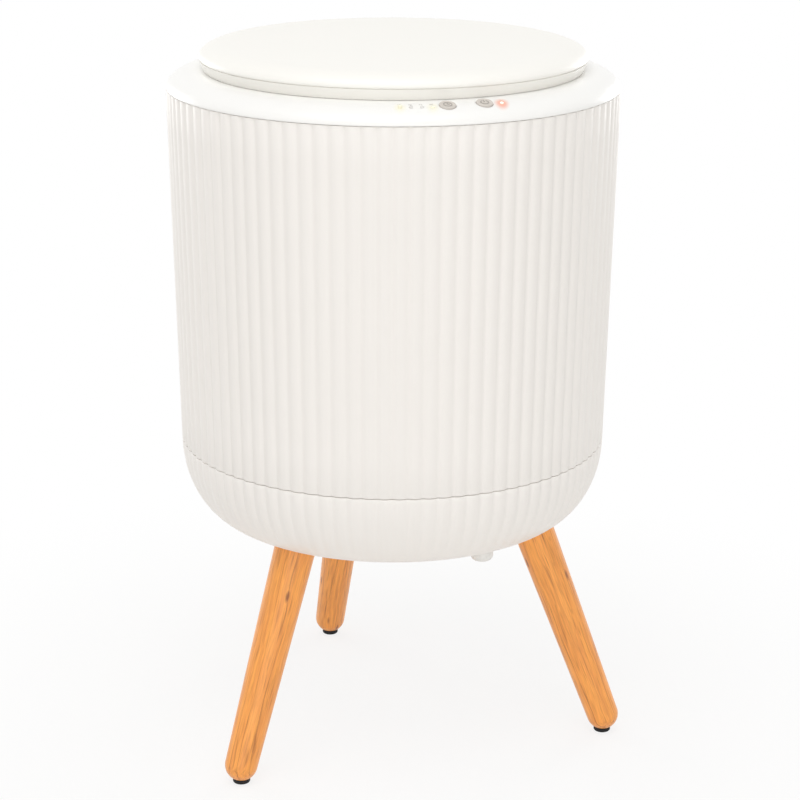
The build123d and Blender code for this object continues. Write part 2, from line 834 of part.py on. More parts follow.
# ---------------------------------------------------------------- lid
liner_z = seat_z + lid_lift_gap
lid_radius = seat_radius + lid_overhang
lid_foot_radius = lid_radius - lid_undercut
lid_foot_z = seat_z + lid_skirt_gap
lid_crease_z = seat_z + lid_crease_height
lid_flat_radius = lid_radius - lid_edge_radial
lid_edge_z = lid_crease_z + lid_edge_rise
lid_inside_radius = lid_foot_radius - lid_wall
liner_plug_radius = ring_opening_radius - liner_plug_gap
liner_flange_radius = lid_inside_radius - fit_gap
lid_screw_radius = liner_plug_radius + lid_screw_inset
lid_screw_angles = [lid_screw_turn + i * 360 / lid_screw_count for i in range(lid_screw_count)]
with BuildPart() as lid_cover:
    with BuildSketch(Plane.XZ):
        with BuildLine():
            ThreePointArc(
                (0, lid_edge_z + lid_crown),
                (lid_flat_radius / 2, lid_edge_z + lid_crown * 3 / 4),
                (lid_flat_radius, lid_edge_z),
            )
            EllipticalCenterArc(
                (lid_flat_radius, lid_crease_z),
                lid_edge_radial,
                lid_edge_rise,
                0,
                arc_size=90,
            )
            Polyline(
                (lid_radius, lid_crease_z),
                (lid_foot_radius, lid_foot_z),
                (lid_inside_radius, lid_foot_z),
                (lid_inside_radius, lid_crease_z),
            )
            EllipticalCenterArc(
                (lid_flat_radius, lid_crease_z),
                lid_inside_radius - lid_flat_radius,
                lid_edge_rise - lid_wall,
                0,
                arc_size=90,
            )
            Polyline(
                (lid_flat_radius, lid_edge_z - lid_wall),
                (0, lid_edge_z - lid_wall),
                (0, lid_edge_z + lid_crown),
            )
        make_face()
    revolve(axis=Axis.Z)
    for angle in lid_screw_angles:
        boss = level(lid_screw_radius, angle, liner_z + liner_wall)
        disc(boss, lid_boss_radius, lid_edge_z - 1.5 * lid_wall - liner_z - liner_wall)
        disc(boss, board_screw_radius, lid_screw_length - liner_wall / 2, Mode.SUBTRACT)
save(lid_cover, "lid_cover")

plug_bottom_z = seat_z - liner_plug_depth
plug_inside_z = plug_bottom_z + liner_wall
with BuildPart() as lid_liner:
    with BuildSketch(Plane.XZ):
        with BuildLine():
            FilletPolyline(
                (0, plug_bottom_z),
                (liner_plug_radius, plug_bottom_z),
                (liner_plug_radius, liner_z),
                radius=liner_corner,
            )
            Polyline(
                (liner_plug_radius, liner_z),
                (liner_flange_radius, liner_z),
                (liner_flange_radius, liner_z + liner_wall),
                (liner_plug_radius - liner_wall, liner_z + liner_wall),
            )
            FilletPolyline(
                (liner_plug_radius - liner_wall, liner_z + liner_wall),
                (liner_plug_radius - liner_wall, plug_inside_z),
                (0, plug_inside_z),
                radius=liner_corner - liner_wall,
            )
            Line((0, plug_inside_z), (0, plug_bottom_z))
        make_face()
    revolve(axis=Axis.Z)
    for angle in lid_screw_angles:
        hole = level(lid_screw_radius, angle, liner_z)
        disc(hole, board_screw_radius, liner_wall, Mode.SUBTRACT)
        disc(hole, board_screw_head_radius + layer_gap, liner_wall / 2, Mode.SUBTRACT)
save(lid_liner, "lid_liner")

with BuildPart() as lid_insulation:
    disc(
        Plane.XY.offset(plug_inside_z),
        liner_plug_radius - liner_wall - fit_gap,
        lid_edge_z - lid_wall - fit_gap - plug_inside_z,
    )
    fillet(edges().group_by(Axis.Z)[0], liner_corner - liner_wall)
save(lid_insulation, "lid_insulation")

with BuildPart() as lid_gasket:
    tube(
        Plane.XY.offset(seat_z),
        liner_flange_radius - lid_gasket_inset,
        liner_plug_radius + lid_gasket_inset,
        lid_lift_gap,
    )
save(lid_gasket, "lid_gasket")

with BuildPart() as lid_screws:
    for angle in lid_screw_angles:
        pan_screw(
            level(lid_screw_radius, angle, liner_z + liner_wall / 2),
            board_screw_radius,
            lid_screw_length,
            board_screw_head_radius,
            liner_wall / 2,
        )
save(lid_screws, "lid_screws")

# ---------------------------------------------------------------- buttons and control board
board_bottom = board_top - board_thickness
for name, angle in {"timer": timer_button_angle, "power": power_button_angle}.items():
    with BuildPart() as button:
        disc(spot(angle, collar_top), button_radius, button_collar_depth + button_proud)
        fillet(edges().filter_by(GeomType.CIRCLE).sort_by(Axis.Z)[-1], button_edge_round)
        disc(spot(angle, button_proud), button_radius - button_rim, -button_dish_depth, Mode.SUBTRACT)
        disc(spot(angle, stem_top), button_collar_radius, button_collar_thickness)
        disc(spot(angle, stem_end), stem_radius, stem_length)
    save(button, f"{name}_button")
    with BuildPart() as plunger:
        disc(spot(angle, stem_end), plunger_radius, -plunger_proud - plunger_sunk)
    save(plunger, f"{name}_plunger")
    with BuildPart() as switch:
        block(spot(angle, board_top), switch_side, switch_side, switch_height)
        fillet(edges().filter_by(Axis(origin=(0, 0, 0), direction=control_plane.z_dir)), switch_side / 10)
        disc(
            spot(angle, switch_top),
            plunger_radius + plunger_gap,
            -plunger_sunk - button_travel - plunger_gap,
            Mode.SUBTRACT,
        )
    save(switch, f"{name}_switch")

with BuildPart() as timer_lamps:
    for angle in timer_lamp_angles:
        disc(lamp_spot(angle, board_top), lamp_radius, lamp_height)
save(timer_lamps, "timer_lamps")

with BuildPart() as power_lamp:
    disc(lamp_spot(power_lamp_angle, board_top), lamp_radius, lamp_height)
save(power_lamp, "power_lamp")

with BuildPart() as timer_lenses:
    for angle in timer_lamp_angles:
        disc(lamp_spot(angle, -lens_depth), lens_radius, 2 * lens_depth)
    add(ring_outside.part, mode=Mode.INTERSECT)
save(timer_lenses, "timer_lenses")

with BuildPart() as power_lens:
    disc(lamp_spot(power_lamp_angle, -lens_depth), lens_radius, 2 * lens_depth)
    add(ring_outside.part, mode=Mode.INTERSECT)
save(power_lens, "power_lens")

board_circle_radius = control_radius + board_top * sin(control_tilt)
board_start = control_board_ends[0] - 90
board_sweep = control_board_ends[1] - control_board_ends[0]
board_inner = board_circle_radius - control_board_width / 2
board_outer = board_circle_radius + control_board_width / 2
with BuildPart() as control_board:
    with BuildSketch(Plane.XY.offset(ring_seam_z - body_radius / 4)):
        with BuildLine():
            outer_edge = CenterArc((0, 0), board_outer, board_start, board_sweep)
            inner_edge = CenterArc((0, 0), board_inner, board_start, board_sweep)
            Line(outer_edge @ 0, inner_edge @ 0)
            Line(outer_edge @ 1, inner_edge @ 1)
        make_face()
    extrude(amount=body_radius / 2)
    block(spot(0, board_bottom), body_radius, body_radius / 2, board_thickness, Mode.INTERSECT)
    for angle in control_post_angles:
        disc(spot(angle, board_bottom), board_screw_radius, board_thickness, Mode.SUBTRACT)
save(control_board, "control_board")

with BuildPart() as control_screws:
    for angle in control_post_angles:
        pan_screw(
            spot(angle, board_bottom),
            board_screw_radius,
            board_screw_length - fit_gap,
            board_screw_head_radius,
            board_screw_head_height,
        )
save(control_screws, "control_screws")

# ---------------------------------------------------------------- power board in the bowl
board_face_z = board_under_z + board_thickness
with BuildPart() as power_board:
    block(Plane.XY.offset(board_under_z), board_length, board_width, board_thickness)
    fillet(edges().filter_by(Axis.Z), board_corner)
    for x in (-post_x, post_x):
        for y in (-post_y, post_y):
            disc(Plane((x, y, board_under_z)), board_screw_radius, board_thickness, Mode.SUBTRACT)
save(power_board, "power_board")

with BuildPart() as power_board_screws:
    for x in (-post_x, post_x):
        for y in (-post_y, post_y):
            seat = Plane(origin=(x, y, board_face_z), x_dir=(1, 0, 0), z_dir=(0, 0, -1))
            pan_screw(
                seat,
                board_screw_radius,
                board_screw_length,
                board_screw_head_radius,
                board_screw_head_height,
            )
save(power_board_screws, "power_board_screws")

with BuildPart() as relay:
    block(Plane((relay_x, relay_y, board_face_z)), *relay_size)
    fillet(edges().filter_by(Axis.Z), board_corner / 2)
save(relay, "relay")

with BuildPart() as transformer:
    block(Plane((transformer_x, transformer_y, board_face_z)), *transformer_size)
    fillet(edges().filter_by(Axis.Z), board_corner)
save(transformer, "transformer")

with BuildPart() as capacitor:
    disc(Plane((capacitor_x, capacitor_y, board_face_z)), capacitor_radius, capacitor_height)
    fillet(edges().group_by(Axis.Z)[-1], capacitor_radius / 8)
save(capacitor, "capacitor")

with BuildPart() as terminal_block:
    block(Plane((terminal_x, terminal_y, board_face_z)), *terminal_size)
    for y in (-terminal_pitch, 0, terminal_pitch):
        top = Plane((terminal_x, terminal_y + y, board_face_z + terminal_size[2]))
        disc(top, terminal_screw_radius, -terminal_screw_radius, Mode.SUBTRACT)
save(terminal_block, "terminal_block")

# ---------------------------------------------------------------- leads
upper_plug_plane = spot(harness_angle, board_bottom)
with BuildPart() as upper_plug:
    block(upper_plug_plane, plug_size[0], plug_size[1], -plug_size[2])
save(upper_plug, "upper_plug")

with BuildPart() as lower_plug:
    block(Plane((lower_plug_x, lower_plug_y, board_face_z)), *plug_size)
save(lower_plug, "lower_plug")

harness_top = upper_plug_plane.offset(-plug_size[2] + harness_radius).origin
harness_out = harness_angle - 90
harness_end_z = board_face_z + plug_size[2] / 2
with BuildPart() as control_harness:
    lead(
        [
            harness_top,
            Vector(harness_top.X, harness_top.Y, bowl_seam_z - harness_below_shell),
            polar(flat_bottom_radius - harness_inset, harness_out, bowl_bottom_z + harness_height),
            Vector(lower_plug_x, lower_plug_y - plug_size[1] / 2 - lead_run, harness_end_z),
            Vector(lower_plug_x, lower_plug_y - plug_size[1] / 2 + harness_radius, harness_end_z),
        ],
        harness_bend,
        harness_radius,
    )
save(control_harness, "control_harness")

lead_end_x = terminal_x + terminal_size[0] / 2
lead_end_z = board_face_z + terminal_size[2] / 3
with BuildPart() as heater_leads:
    for angle, side in ((wire_start_angle, 1), (wire_end_angle, -1)):
        end_y = terminal_y + side * terminal_pitch
        lead(
            [
                polar(wire_circle_radius, angle, foil_bottom_z),
                polar(wire_circle_radius, angle, bowl_bottom_z + lead_height),
                Vector(lead_end_x + lead_run, end_y, lead_end_z),
                Vector(lead_end_x, end_y, lead_end_z),
            ],
            lead_bend,
            lead_radius,
        )
save(heater_leads, "heater_leads")

# ---------------------------------------------------------------- cord gland and rating plate
with BuildPart() as cord_gland:
    disc(gland_plane(gland_seat_radius), gland_flange_radius, gland_flange_thickness)
    fillet(edges().filter_by(GeomType.CIRCLE), gland_flange_round)
    disc(gland_plane(gland_seat_radius), gland_radius, -gland_length)
    disc(gland_plane(gland_seat_radius + gland_length), gland_bore_radius, -3 * gland_length, Mode.SUBTRACT)
save(cord_gland, "cord_gland")

gland_nut_seat = gland_seat_radius - gland_panel
with BuildPart() as gland_nut:
    with BuildSketch(gland_plane(gland_nut_seat)) as nut_outline:
        RegularPolygon(gland_radius + gland_nut_wall, 6)
        Circle(gland_radius, mode=Mode.SUBTRACT)
    extrude(amount=-gland_nut_height)
save(gland_nut, "gland_nut")

with BuildPart() as rating_plate:
    block(Plane((0, -plate_y, bowl_bottom_z)), plate_length, plate_width, -plate_thickness)
    fillet(edges().filter_by(Axis.Z), board_corner)
save(rating_plate, "rating_plate")
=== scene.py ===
from math import atan, cos, pi, radians, sin, sqrt, tan, tau

import bmesh
import bpy
from bpy.props import FloatProperty, FloatVectorProperty, IntProperty, PointerProperty
from mathutils import Matrix, Vector


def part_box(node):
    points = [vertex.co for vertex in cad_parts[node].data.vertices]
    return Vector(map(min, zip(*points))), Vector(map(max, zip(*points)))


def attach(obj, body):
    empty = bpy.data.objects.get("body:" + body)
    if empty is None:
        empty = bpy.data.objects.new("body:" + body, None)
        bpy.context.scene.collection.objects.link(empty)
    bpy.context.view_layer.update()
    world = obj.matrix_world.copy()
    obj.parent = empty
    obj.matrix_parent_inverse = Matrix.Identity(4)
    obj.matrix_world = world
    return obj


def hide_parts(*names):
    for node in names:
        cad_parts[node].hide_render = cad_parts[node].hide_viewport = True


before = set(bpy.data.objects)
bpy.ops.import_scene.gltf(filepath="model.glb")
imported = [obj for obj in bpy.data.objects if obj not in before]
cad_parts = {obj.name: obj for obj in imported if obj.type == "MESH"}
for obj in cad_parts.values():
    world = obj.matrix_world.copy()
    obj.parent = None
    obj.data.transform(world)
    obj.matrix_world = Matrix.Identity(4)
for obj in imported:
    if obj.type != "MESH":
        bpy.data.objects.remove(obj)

bl_info = {
    "name": "Towel warmer bucket",
    "version": (1, 0, 0),
    "blender": (4, 5, 0),
    "location": "3D Viewport > Sidebar > Towel warmer",
    "description": "Builds the visible pieces, finishes and studio of a towel warmer bucket",
    "category": "Object",
}

# metres in a millimetre
MM = 0.001
# a point nearer to the axis than this is on it
ON_AXIS = 1e-7
# play between pieces that go into each other
PLAY = 0.3 * MM
# thickness of the tongues with which the bowl and the ring go into the shell
TONGUE = 2.4 * MM
BOWL_WALL = 3.0 * MM
# share of a lip's rounding at which its middle point lies
LIP_MIDDLE = 0.3
# steps of the mesh round each rib
RIB_STEPS = 12
# width of the rim that holds a button behind the ring
BUTTON_RIM = 0.8 * MM
LENS_RADIUS = 1.3 * MM
# direction of the cord gland, in degrees from +X
GLAND_ANGLE = 120
# the lamps' painted glow on the ring's colour: turned towards the front, and spread down the slope
PAINTED_GLOW_TURN = radians(-19)
PAINTED_GLOW_SPREAD = (1.0, 1.6, 1.6)

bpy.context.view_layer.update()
RING_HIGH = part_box("top_ring")[1]
SHELL_LOW, SHELL_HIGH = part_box("body_shell")
BOWL_LOW, BOWL_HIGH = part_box("base_bowl")
LID_LOW, LID_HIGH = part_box("lid_cover")


# ---------------------------------------------------------------- colours and nodes
def linear(code):
    """Linear colour with alpha from an sRGB hex code."""
    parts = [int(code[i:i + 2], 16) / 255 for i in (0, 2, 4)]
    return [p / 12.92 if p <= 0.04045 else ((p + 0.055) / 1.055) ** 2.4 for p in parts] + [1.0]


def add_node(tree, kind, inputs=None, **settings):
    """Add a shader node, set its properties, and give its inputs values, sockets or nodes' first outputs."""
    node = tree.nodes.new("ShaderNode" + kind)
    for name, value in settings.items():
        setattr(node, name, value)
    for name, value in (inputs or {}).items():
        if isinstance(value, bpy.types.Node):
            value = next(socket for socket in value.outputs if socket.enabled)
        if isinstance(value, bpy.types.NodeSocket):
            tree.links.new(value, node.inputs[name])
        else:
            node.inputs[name].default_value = value
    return node


def new_material(name, **values):
    """Material, its node tree, its Principled shader with the values set, and its object's coordinates."""
    material = bpy.data.materials.new(name)
    material.use_nodes = True
    tree = material.node_tree
    shader = tree.nodes["Principled BSDF"]
    for key, value in values.items():
        shader.inputs[key.replace("_", " ")].default_value = value
    return material, tree, shader, add_node(tree, "TexCoord").outputs["Object"]


def white_rays(tree):
    """1 for the rays that see the plain white set: straight, mirrored and through glass."""
    rays = add_node(tree, "LightPath")
    seen = rays.outputs["Is Camera Ray"]
    for kind in ("Is Glossy Ray", "Is Transmission Ray"):
        seen = add_node(tree, "Math", {0: seen, 1: rays.outputs[kind]}, operation="MAXIMUM")
    return seen


def per(millimetres):
    """Texture scale whose grains are about this wide."""
    return 1 / (millimetres * MM)


def pattern_colour(tree, shader, colour, pattern, low, high, relief=None, depth=0.0):
    """Let a pattern shade a colour between two shares, and a relief stand up by a depth in millimetres."""
    share = add_node(tree, "MapRange", {"Value": pattern, "To Min": low, "To Max": high})
    tone = add_node(tree, "VectorMath", {0: colour[:3], "Scale": share}, operation="SCALE")
    tree.links.new(tone.outputs["Vector"], shader.inputs["Base Color"])
    if relief is not None:
        bump = add_node(tree, "Bump", {"Height": relief, "Distance": depth * MM, "Strength": 1.0})
        tree.links.new(bump.outputs["Normal"], shader.inputs["Normal"])


# ---------------------------------------------------------------- finishes
def moulded_plastic(name, colour, roughness, grain=0.8, depth=0.012):
    """Injection-moulded plastic: the tool's grain breaks up the gloss, and the colour drifts a little."""
    material, tree, shader, place = new_material(name, Roughness=roughness, IOR=1.53)
    drift = add_node(tree, "TexNoise", {"Vector": place, "Scale": per(45), "Detail": 2.0})
    gloss = add_node(
        tree, "MapRange", {"Value": drift, "To Min": roughness * 0.9, "To Max": roughness * 1.12}
    )
    tree.links.new(gloss.outputs["Result"], shader.inputs["Roughness"])
    # the real grain is about 0.1 mm, drawn coarser so that it shows
    pits = add_node(tree, "TexNoise", {"Vector": place, "Scale": per(grain), "Detail": 3.0})
    pattern_colour(tree, shader, colour, drift, 0.985, 1.0, pits, depth)
    return material


def plastic_with_painted_glow(name, colour, roughness, lamps):
    """Glossy white plastic with a painted glow round the small lamps set in it: their light is painted into
    its base colour.
    """
    material = moulded_plastic(name, colour, roughness, grain=1.2, depth=0.006)
    tree = material.node_tree
    base_colour = tree.nodes["Principled BSDF"].inputs["Base Color"]
    place = add_node(tree, "TexCoord").outputs["Object"]
    shown = base_colour.links[0].from_socket
    for centre, light, reach in lamps:
        # the painted glow is spread up and down the ring's slope, so that it looks round from the front
        spread = add_node(
            tree,
            "Mapping",
            {"Vector": place, "Location": centre, "Rotation": (0.0, 0.0, PAINTED_GLOW_TURN), "Scale": PAINTED_GLOW_SPREAD},
            vector_type="TEXTURE",
        )
        apart = add_node(tree, "VectorMath", {0: spread}, operation="LENGTH")
        far = add_node(
            tree,
            "MapRange",
            {"Value": apart, "From Min": 0.2 * reach, "From Max": reach},
            interpolation_type="SMOOTHSTEP",
        )
        # the painted light fades from its own colour to white, which leaves the plastic as it is
        tint = add_node(
            tree,
            "VectorMath",
            {0: far, 1: [1 - part for part in light[:3]], 2: light[:3]},
            operation="MULTIPLY_ADD",
        )
        shown = add_node(tree, "VectorMath", {0: shown, 1: tint}, operation="MULTIPLY").outputs["Vector"]
    tree.links.new(shown, base_colour)
    return material


def turned_beech(name, into_leg, shift, light, middle, dark):
    """Turned hardwood under clear lacquer: growth layers, dark year lines, fibres and small pin knots."""
    material, tree, shader, world = new_material(
        name, Roughness=0.42, IOR=1.5, Coat_Weight=0.25, Coat_Roughness=0.18, Coat_IOR=1.5
    )

    def grain(kind, source, across, along, start=(0.0, 0.0, 0.0), **texture):
        """Pattern whose grains are so many millimetres wide and long."""
        scale = (per(across), per(across), per(along))
        spot = add_node(tree, "Mapping", {"Vector": source, "Location": start, "Scale": scale})
        return add_node(tree, kind, {"Vector": spot, "Scale": 1.0, **texture})

    place = add_node(
        tree,
        "Mapping",
        {"Vector": world, "Location": into_leg.translation, "Rotation": into_leg.to_euler()},
    )
    # the grain sways by a millimetre or two over a hand's length of the leg
    sway = grain("TexNoise", place, 16, 60, shift, Detail=2.0)
    swayed = add_node(
        tree,
        "VectorMath",
        {0: sway.outputs["Color"], 1: (4.5 * MM, 4.5 * MM, 0.0), 2: place},
        operation="MULTIPLY_ADD",
    )
    # soft streaks about 2.5 mm wide and 40 mm long
    layers = grain("TexNoise", swayed, 2.5, 40, Detail=3.0, Roughness=0.6)
    layer_tone = add_node(tree, "ValToRGB", {"Fac": layers})
    for stop, share, colour in zip(layer_tone.color_ramp.elements, (0.36, 0.6), (middle, light)):
        stop.position = share
        stop.color = colour
    # vessels seen as darker dashes about 1.4 mm wide and 26 mm long
    vessels = grain("TexNoise", swayed, 1.4, 26, (3.0, 5.0, 1.0), Detail=1.0)
    dash = add_node(tree, "MapRange", {"Value": vessels, "From Min": 0.55, "From Max": 0.75, "To Max": 0.48})
    # the pith lies 34 mm beside the leg: a thin dark line ends each year's layer, 6 mm from the next
    from_pith = add_node(
        tree,
        "VectorMath",
        {0: swayed, 1: (1.0, 1.0, 0.0), 2: (34 * MM, 9 * MM, 0.0)},
        operation="MULTIPLY_ADD",
    )
    depth = add_node(tree, "VectorMath", {0: from_pith}, operation="LENGTH")
    years = add_node(tree, "Math", {0: depth, 1: per(6)}, operation="MULTIPLY")
    year = add_node(tree, "Math", {0: years}, operation="FRACT")
    line = add_node(tree, "MapRange", {"Value": year, "From Max": 0.13, "To Min": 1.0, "To Max": 0.0})
    # the line comes and goes along the leg
    seen = add_node(
        tree, "MapRange", {"Value": sway, "From Min": 0.4, "From Max": 0.6, "To Min": 0.15, "To Max": 0.7}
    )
    faint = add_node(tree, "Math", {0: line, 1: seen, 2: dash}, operation="MULTIPLY_ADD")
    # fibres 0.7 mm wide and about 14 mm long
    fibres = grain("TexNoise", swayed, 0.7, 14, Detail=3.0)
    fibre_tone = add_node(
        tree,
        "MapRange",
        {"Value": fibres, "From Min": 0.3, "From Max": 0.7, "To Min": 0.86, "To Max": 1.08},
    )
    # pin knots 2 mm wide and 6 mm long, a few to a leg
    knots = grain("TexVoronoi", swayed, 13, 40, shift)
    knot = add_node(
        tree,
        "MapRange",
        {"Value": knots, "From Min": 0.05, "From Max": 0.14, "To Min": 0.9, "To Max": 0.0},
    )
    mark = add_node(tree, "Math", {0: faint, 1: knot}, operation="ADD", use_clamp=True)
    # a full mark takes the light wood to the dark one
    darkening = [late / early - 1 for late, early in zip(dark[:3], light[:3])]
    stain = add_node(
        tree, "VectorMath", {0: mark, 1: darkening, 2: (1.0, 1.0, 1.0)}, operation="MULTIPLY_ADD"
    )
    base = add_node(tree, "VectorMath", {0: layer_tone, 1: stain}, operation="MULTIPLY")
    tone = add_node(tree, "VectorMath", {0: base, "Scale": fibre_tone}, operation="SCALE")
    tree.links.new(tone.outputs["Vector"], shader.inputs["Base Color"])
    bump = add_node(tree, "Bump", {"Height": fibres, "Distance": 0.03 * MM, "Strength": 1.0})
    tree.links.new(bump.outputs["Normal"], shader.inputs["Normal"])
    return material


def moulded_rubber(name, colour):
    """Moulded rubber: matt, with a faint bloom and a fine skin texture."""
    material, tree, shader, place = new_material(name, Roughness=0.7, IOR=1.52, Specular_IOR_Level=0.4)
    bloom = add_node(tree, "TexNoise", {"Vector": place, "Scale": per(5), "Detail": 4.0})
    skin = add_node(tree, "TexNoise", {"Vector": place, "Scale": per(0.5), "Detail": 2.0})
    pattern_colour(tree, shader, colour, bloom, 0.8, 1.15, skin, 0.02)
    return material


def spun_metal(name, colour, roughness, line=0.5, depth=0.008):
    """Spun or rolled sheet metal: fine lines run round the axis, where the tool passed."""
    material, tree, shader, place = new_material(name, Metallic=1.0, Roughness=roughness, Base_Color=colour)
    parts = add_node(tree, "SeparateXYZ", {"Vector": place})
    flat = add_node(tree, "CombineXYZ", {"X": parts.outputs["X"], "Y": parts.outputs["Y"]})
    away = add_node(tree, "VectorMath", {0: flat}, operation="LENGTH")
    across = add_node(tree, "CombineXYZ", {"X": away, "Y": parts.outputs["Z"]})
    # the real lines are under 0.1 mm apart, drawn coarser so that they show
    lines = add_node(
        tree, "TexNoise", {"Vector": across, "Scale": per(line), "Detail": 3.0}, noise_dimensions="2D"
    )
    smears = add_node(tree, "TexNoise", {"Vector": place, "Scale": per(30), "Detail": 3.0})
    worn = add_node(tree, "Math", {0: lines, 1: 0.16, 2: smears}, operation="MULTIPLY_ADD")
    dull = {"From Min": 0.3, "From Max": 0.9, "To Min": roughness * 0.8, "To Max": roughness * 1.3}
    gloss = add_node(tree, "MapRange", {"Value": worn, **dull})
    tree.links.new(gloss.outputs["Result"], shader.inputs["Roughness"])
    bump = add_node(tree, "Bump", {"Height": lines, "Distance": depth * MM, "Strength": 1.0})
    tree.links.new(bump.outputs["Normal"], shader.inputs["Normal"])
    return material


def plated_metal(name, colour, roughness):
    """Plated or turned small metal part: cloudy plating with fine scratches."""
    material, tree, shader, place = new_material(name, Metallic=1.0, Roughness=roughness)
    cloud = add_node(tree, "TexNoise", {"Vector": place, "Scale": per(3), "Detail": 4.0})
    scratch = add_node(tree, "Mapping", {"Vector": place, "Scale": (per(0.3), per(3), per(0.3))})
    lines = add_node(tree, "TexNoise", {"Vector": scratch, "Scale": 1.0})
    pattern_colour(tree, shader, colour, cloud, 0.85, 1.08, lines, 0.01)
    return material


def needled_felt(name, colour, fibre=0.6):
    """Needled felt or blown foam: dull, soft-edged, with tangled fibres or cells standing up."""
    material, tree, shader, place = new_material(
        name, Roughness=0.95, IOR=1.45, Specular_IOR_Level=0.2, Sheen_Weight=0.3
    )
    tangle = add_node(
        tree, "TexNoise", {"Vector": place, "Scale": per(fibre * 3), "Detail": 6.0, "Distortion": 1.5}
    )
    pattern_colour(tree, shader, colour, tangle, 0.75, 1.1, tangle, 0.6)
    return material


def masked_laminate(name, colour):
    """Glass-epoxy board under solder mask: glossy, with the glass weave showing faintly through."""
    material, tree, shader, place = new_material(name, Roughness=0.35, IOR=1.55, Coat_Weight=0.3)
    # glass cloth of about 1 mm pitch
    weave = add_node(tree, "TexChecker", {"Vector": place, "Scale": per(1.0)})
    pattern_colour(tree, shader, colour, weave.outputs["Fac"], 0.9, 1.08)
    return material


def diffusing_lens(name, colour, lit_from=None, glow=0.0):
    """Milky polycarbonate light guide: where a lamp stands behind it, it is brightest at its middle."""
    material, tree, shader, place = new_material(
        name, Roughness=0.25, IOR=1.58, Transmission_Weight=0.15, Emission_Color=colour
    )
    cloud = add_node(tree, "TexNoise", {"Vector": place, "Scale": per(0.8), "Detail": 2.0})
    pattern_colour(tree, shader, colour, cloud, 0.94, 1.0)
    if lit_from:
        off = add_node(tree, "VectorMath", {0: place, 1: lit_from}, operation="DISTANCE")
        fading = {"From Min": 0.3 * LENS_RADIUS, "From Max": LENS_RADIUS}
        bright = add_node(
            tree, "MapRange", {"Value": off, **fading, "To Min": glow, "To Max": 0.3 * glow}
        )
        tree.links.new(bright.outputs["Result"], shader.inputs["Emission Strength"])
    return material


# ---------------------------------------------------------------- shapes
def shade(mesh):
    """Shade smoothly, with sharp edges where faces turn by more than 35 degrees."""
    mesh.shade_smooth()
    mesh.set_sharp_from_angle(angle=radians(35))
    return mesh


def solid_mesh(name, points, faces):
    """Closed mesh with its faces turned outwards."""
    mesh = bpy.data.meshes.new(name)
    mesh.from_pydata(points, [], faces)
    work = bmesh.new()
    work.from_mesh(mesh)
    bmesh.ops.recalc_face_normals(work, faces=work.faces)
    work.to_mesh(mesh)
    work.free()
    return shade(mesh)


def rib_drop(turn, count, crest):
    """Share of the rib depth by which the wall falls back: 0 on a crest, 1 in the soft valley beside it."""
    across = abs(turn * count / tau % 1 * 2 - 1)
    if across <= crest:
        return across**2 / crest
    past = across - crest
    return (crest**2 + 2 * crest * past - crest * past**2 / (1 - crest)) / crest


def turned(name, outline, steps, ribs=None):
    """Closed solid turned round Z from points of radius and height, and of rib depth where it is ribbed."""
    turns = [tau * k / steps for k in range(steps)]
    drops = [rib_drop(turn, *ribs) for turn in turns] if ribs else [0.0] * steps
    points = []
    rows = []
    for radius, height, *depth in outline:
        if radius < ON_AXIS:
            rows.append([len(points)] * steps)
            points.append((0.0, 0.0, height))
            continue
        rows.append(range(len(points), len(points) + steps))
        deep = depth[0] if depth else 0.0
        for turn, drop in zip(turns, drops):
            reach = radius - deep * drop
            points.append((reach * cos(turn), reach * sin(turn), height))
    faces = []
    for one, other in zip(rows, rows[1:] + rows[:1]):
        for k in range(steps):
            n = (k + 1) % steps
            corners = list(dict.fromkeys((one[k], one[n], other[n], other[k])))
            if len(corners) > 2:
                faces.append(corners)
    return solid_mesh(name, points, faces)


def rounded(corners, steps):
    """Outline through corners of (across, up, rounding), each one with a rounding turned into an arc."""
    outline = []
    last = len(corners)
    for i, (x, y, rounding) in enumerate(corners):
        here = Vector((x, y))
        if not rounding:
            outline.append((x, y))
            continue
        before = (Vector(corners[i - 1][:2]) - here).normalized()
        after = (Vector(corners[(i + 1) % last][:2]) - here).normalized()
        half = before.angle(after) / 2
        start = here + before * rounding / tan(half)
        end = here + after * rounding / tan(half)
        centre = here + (before + after).normalized() * rounding / sin(half)
        sweep = (end - centre).angle_signed(start - centre)
        for k in range(steps + 1):
            spoke = start - centre
            spoke.rotate(Matrix.Rotation(sweep * k / steps, 2))
            outline.append(tuple(centre + spoke))
    return outline


def elliptic(centre, across, up, first, last, steps):
    """Points of an ellipse's arc between two angles in degrees."""
    spots = []
    for k in range(steps + 1):
        angle = radians(first + (last - first) * k / steps)
        spots.append((centre[0] + across * cos(angle), centre[1] + up * sin(angle)))
    return spots


def joined(name, parts):
    """One mesh from (mesh, matrix) parts."""
    work = bmesh.new()
    for mesh, matrix in parts:
        placed = mesh.copy()
        placed.transform(matrix)
        work.from_mesh(placed)
        bpy.data.meshes.remove(placed)
    mesh = bpy.data.meshes.new(name)
    work.to_mesh(mesh)
    work.free()
    return shade(mesh)


def cut(mesh, cutter):
    """Mesh with a closed cutter taken out of it."""
    scene = bpy.context.scene
    blank = bpy.data.objects.new("blank", mesh)
    tool = bpy.data.objects.new("tool", cutter)
    for piece in (blank, tool):
        scene.collection.objects.link(piece)
    step = blank.modifiers.new("cut", "BOOLEAN")
    step.operation = "DIFFERENCE"
    step.solver = "EXACT"
    step.object = tool
    result = bpy.data.meshes.new_from_object(blank.evaluated_get(bpy.context.evaluated_depsgraph_get()))
    result.name = mesh.name + "_cut"
    for piece in (blank, tool):
        bpy.data.objects.remove(piece)
    return shade(result)


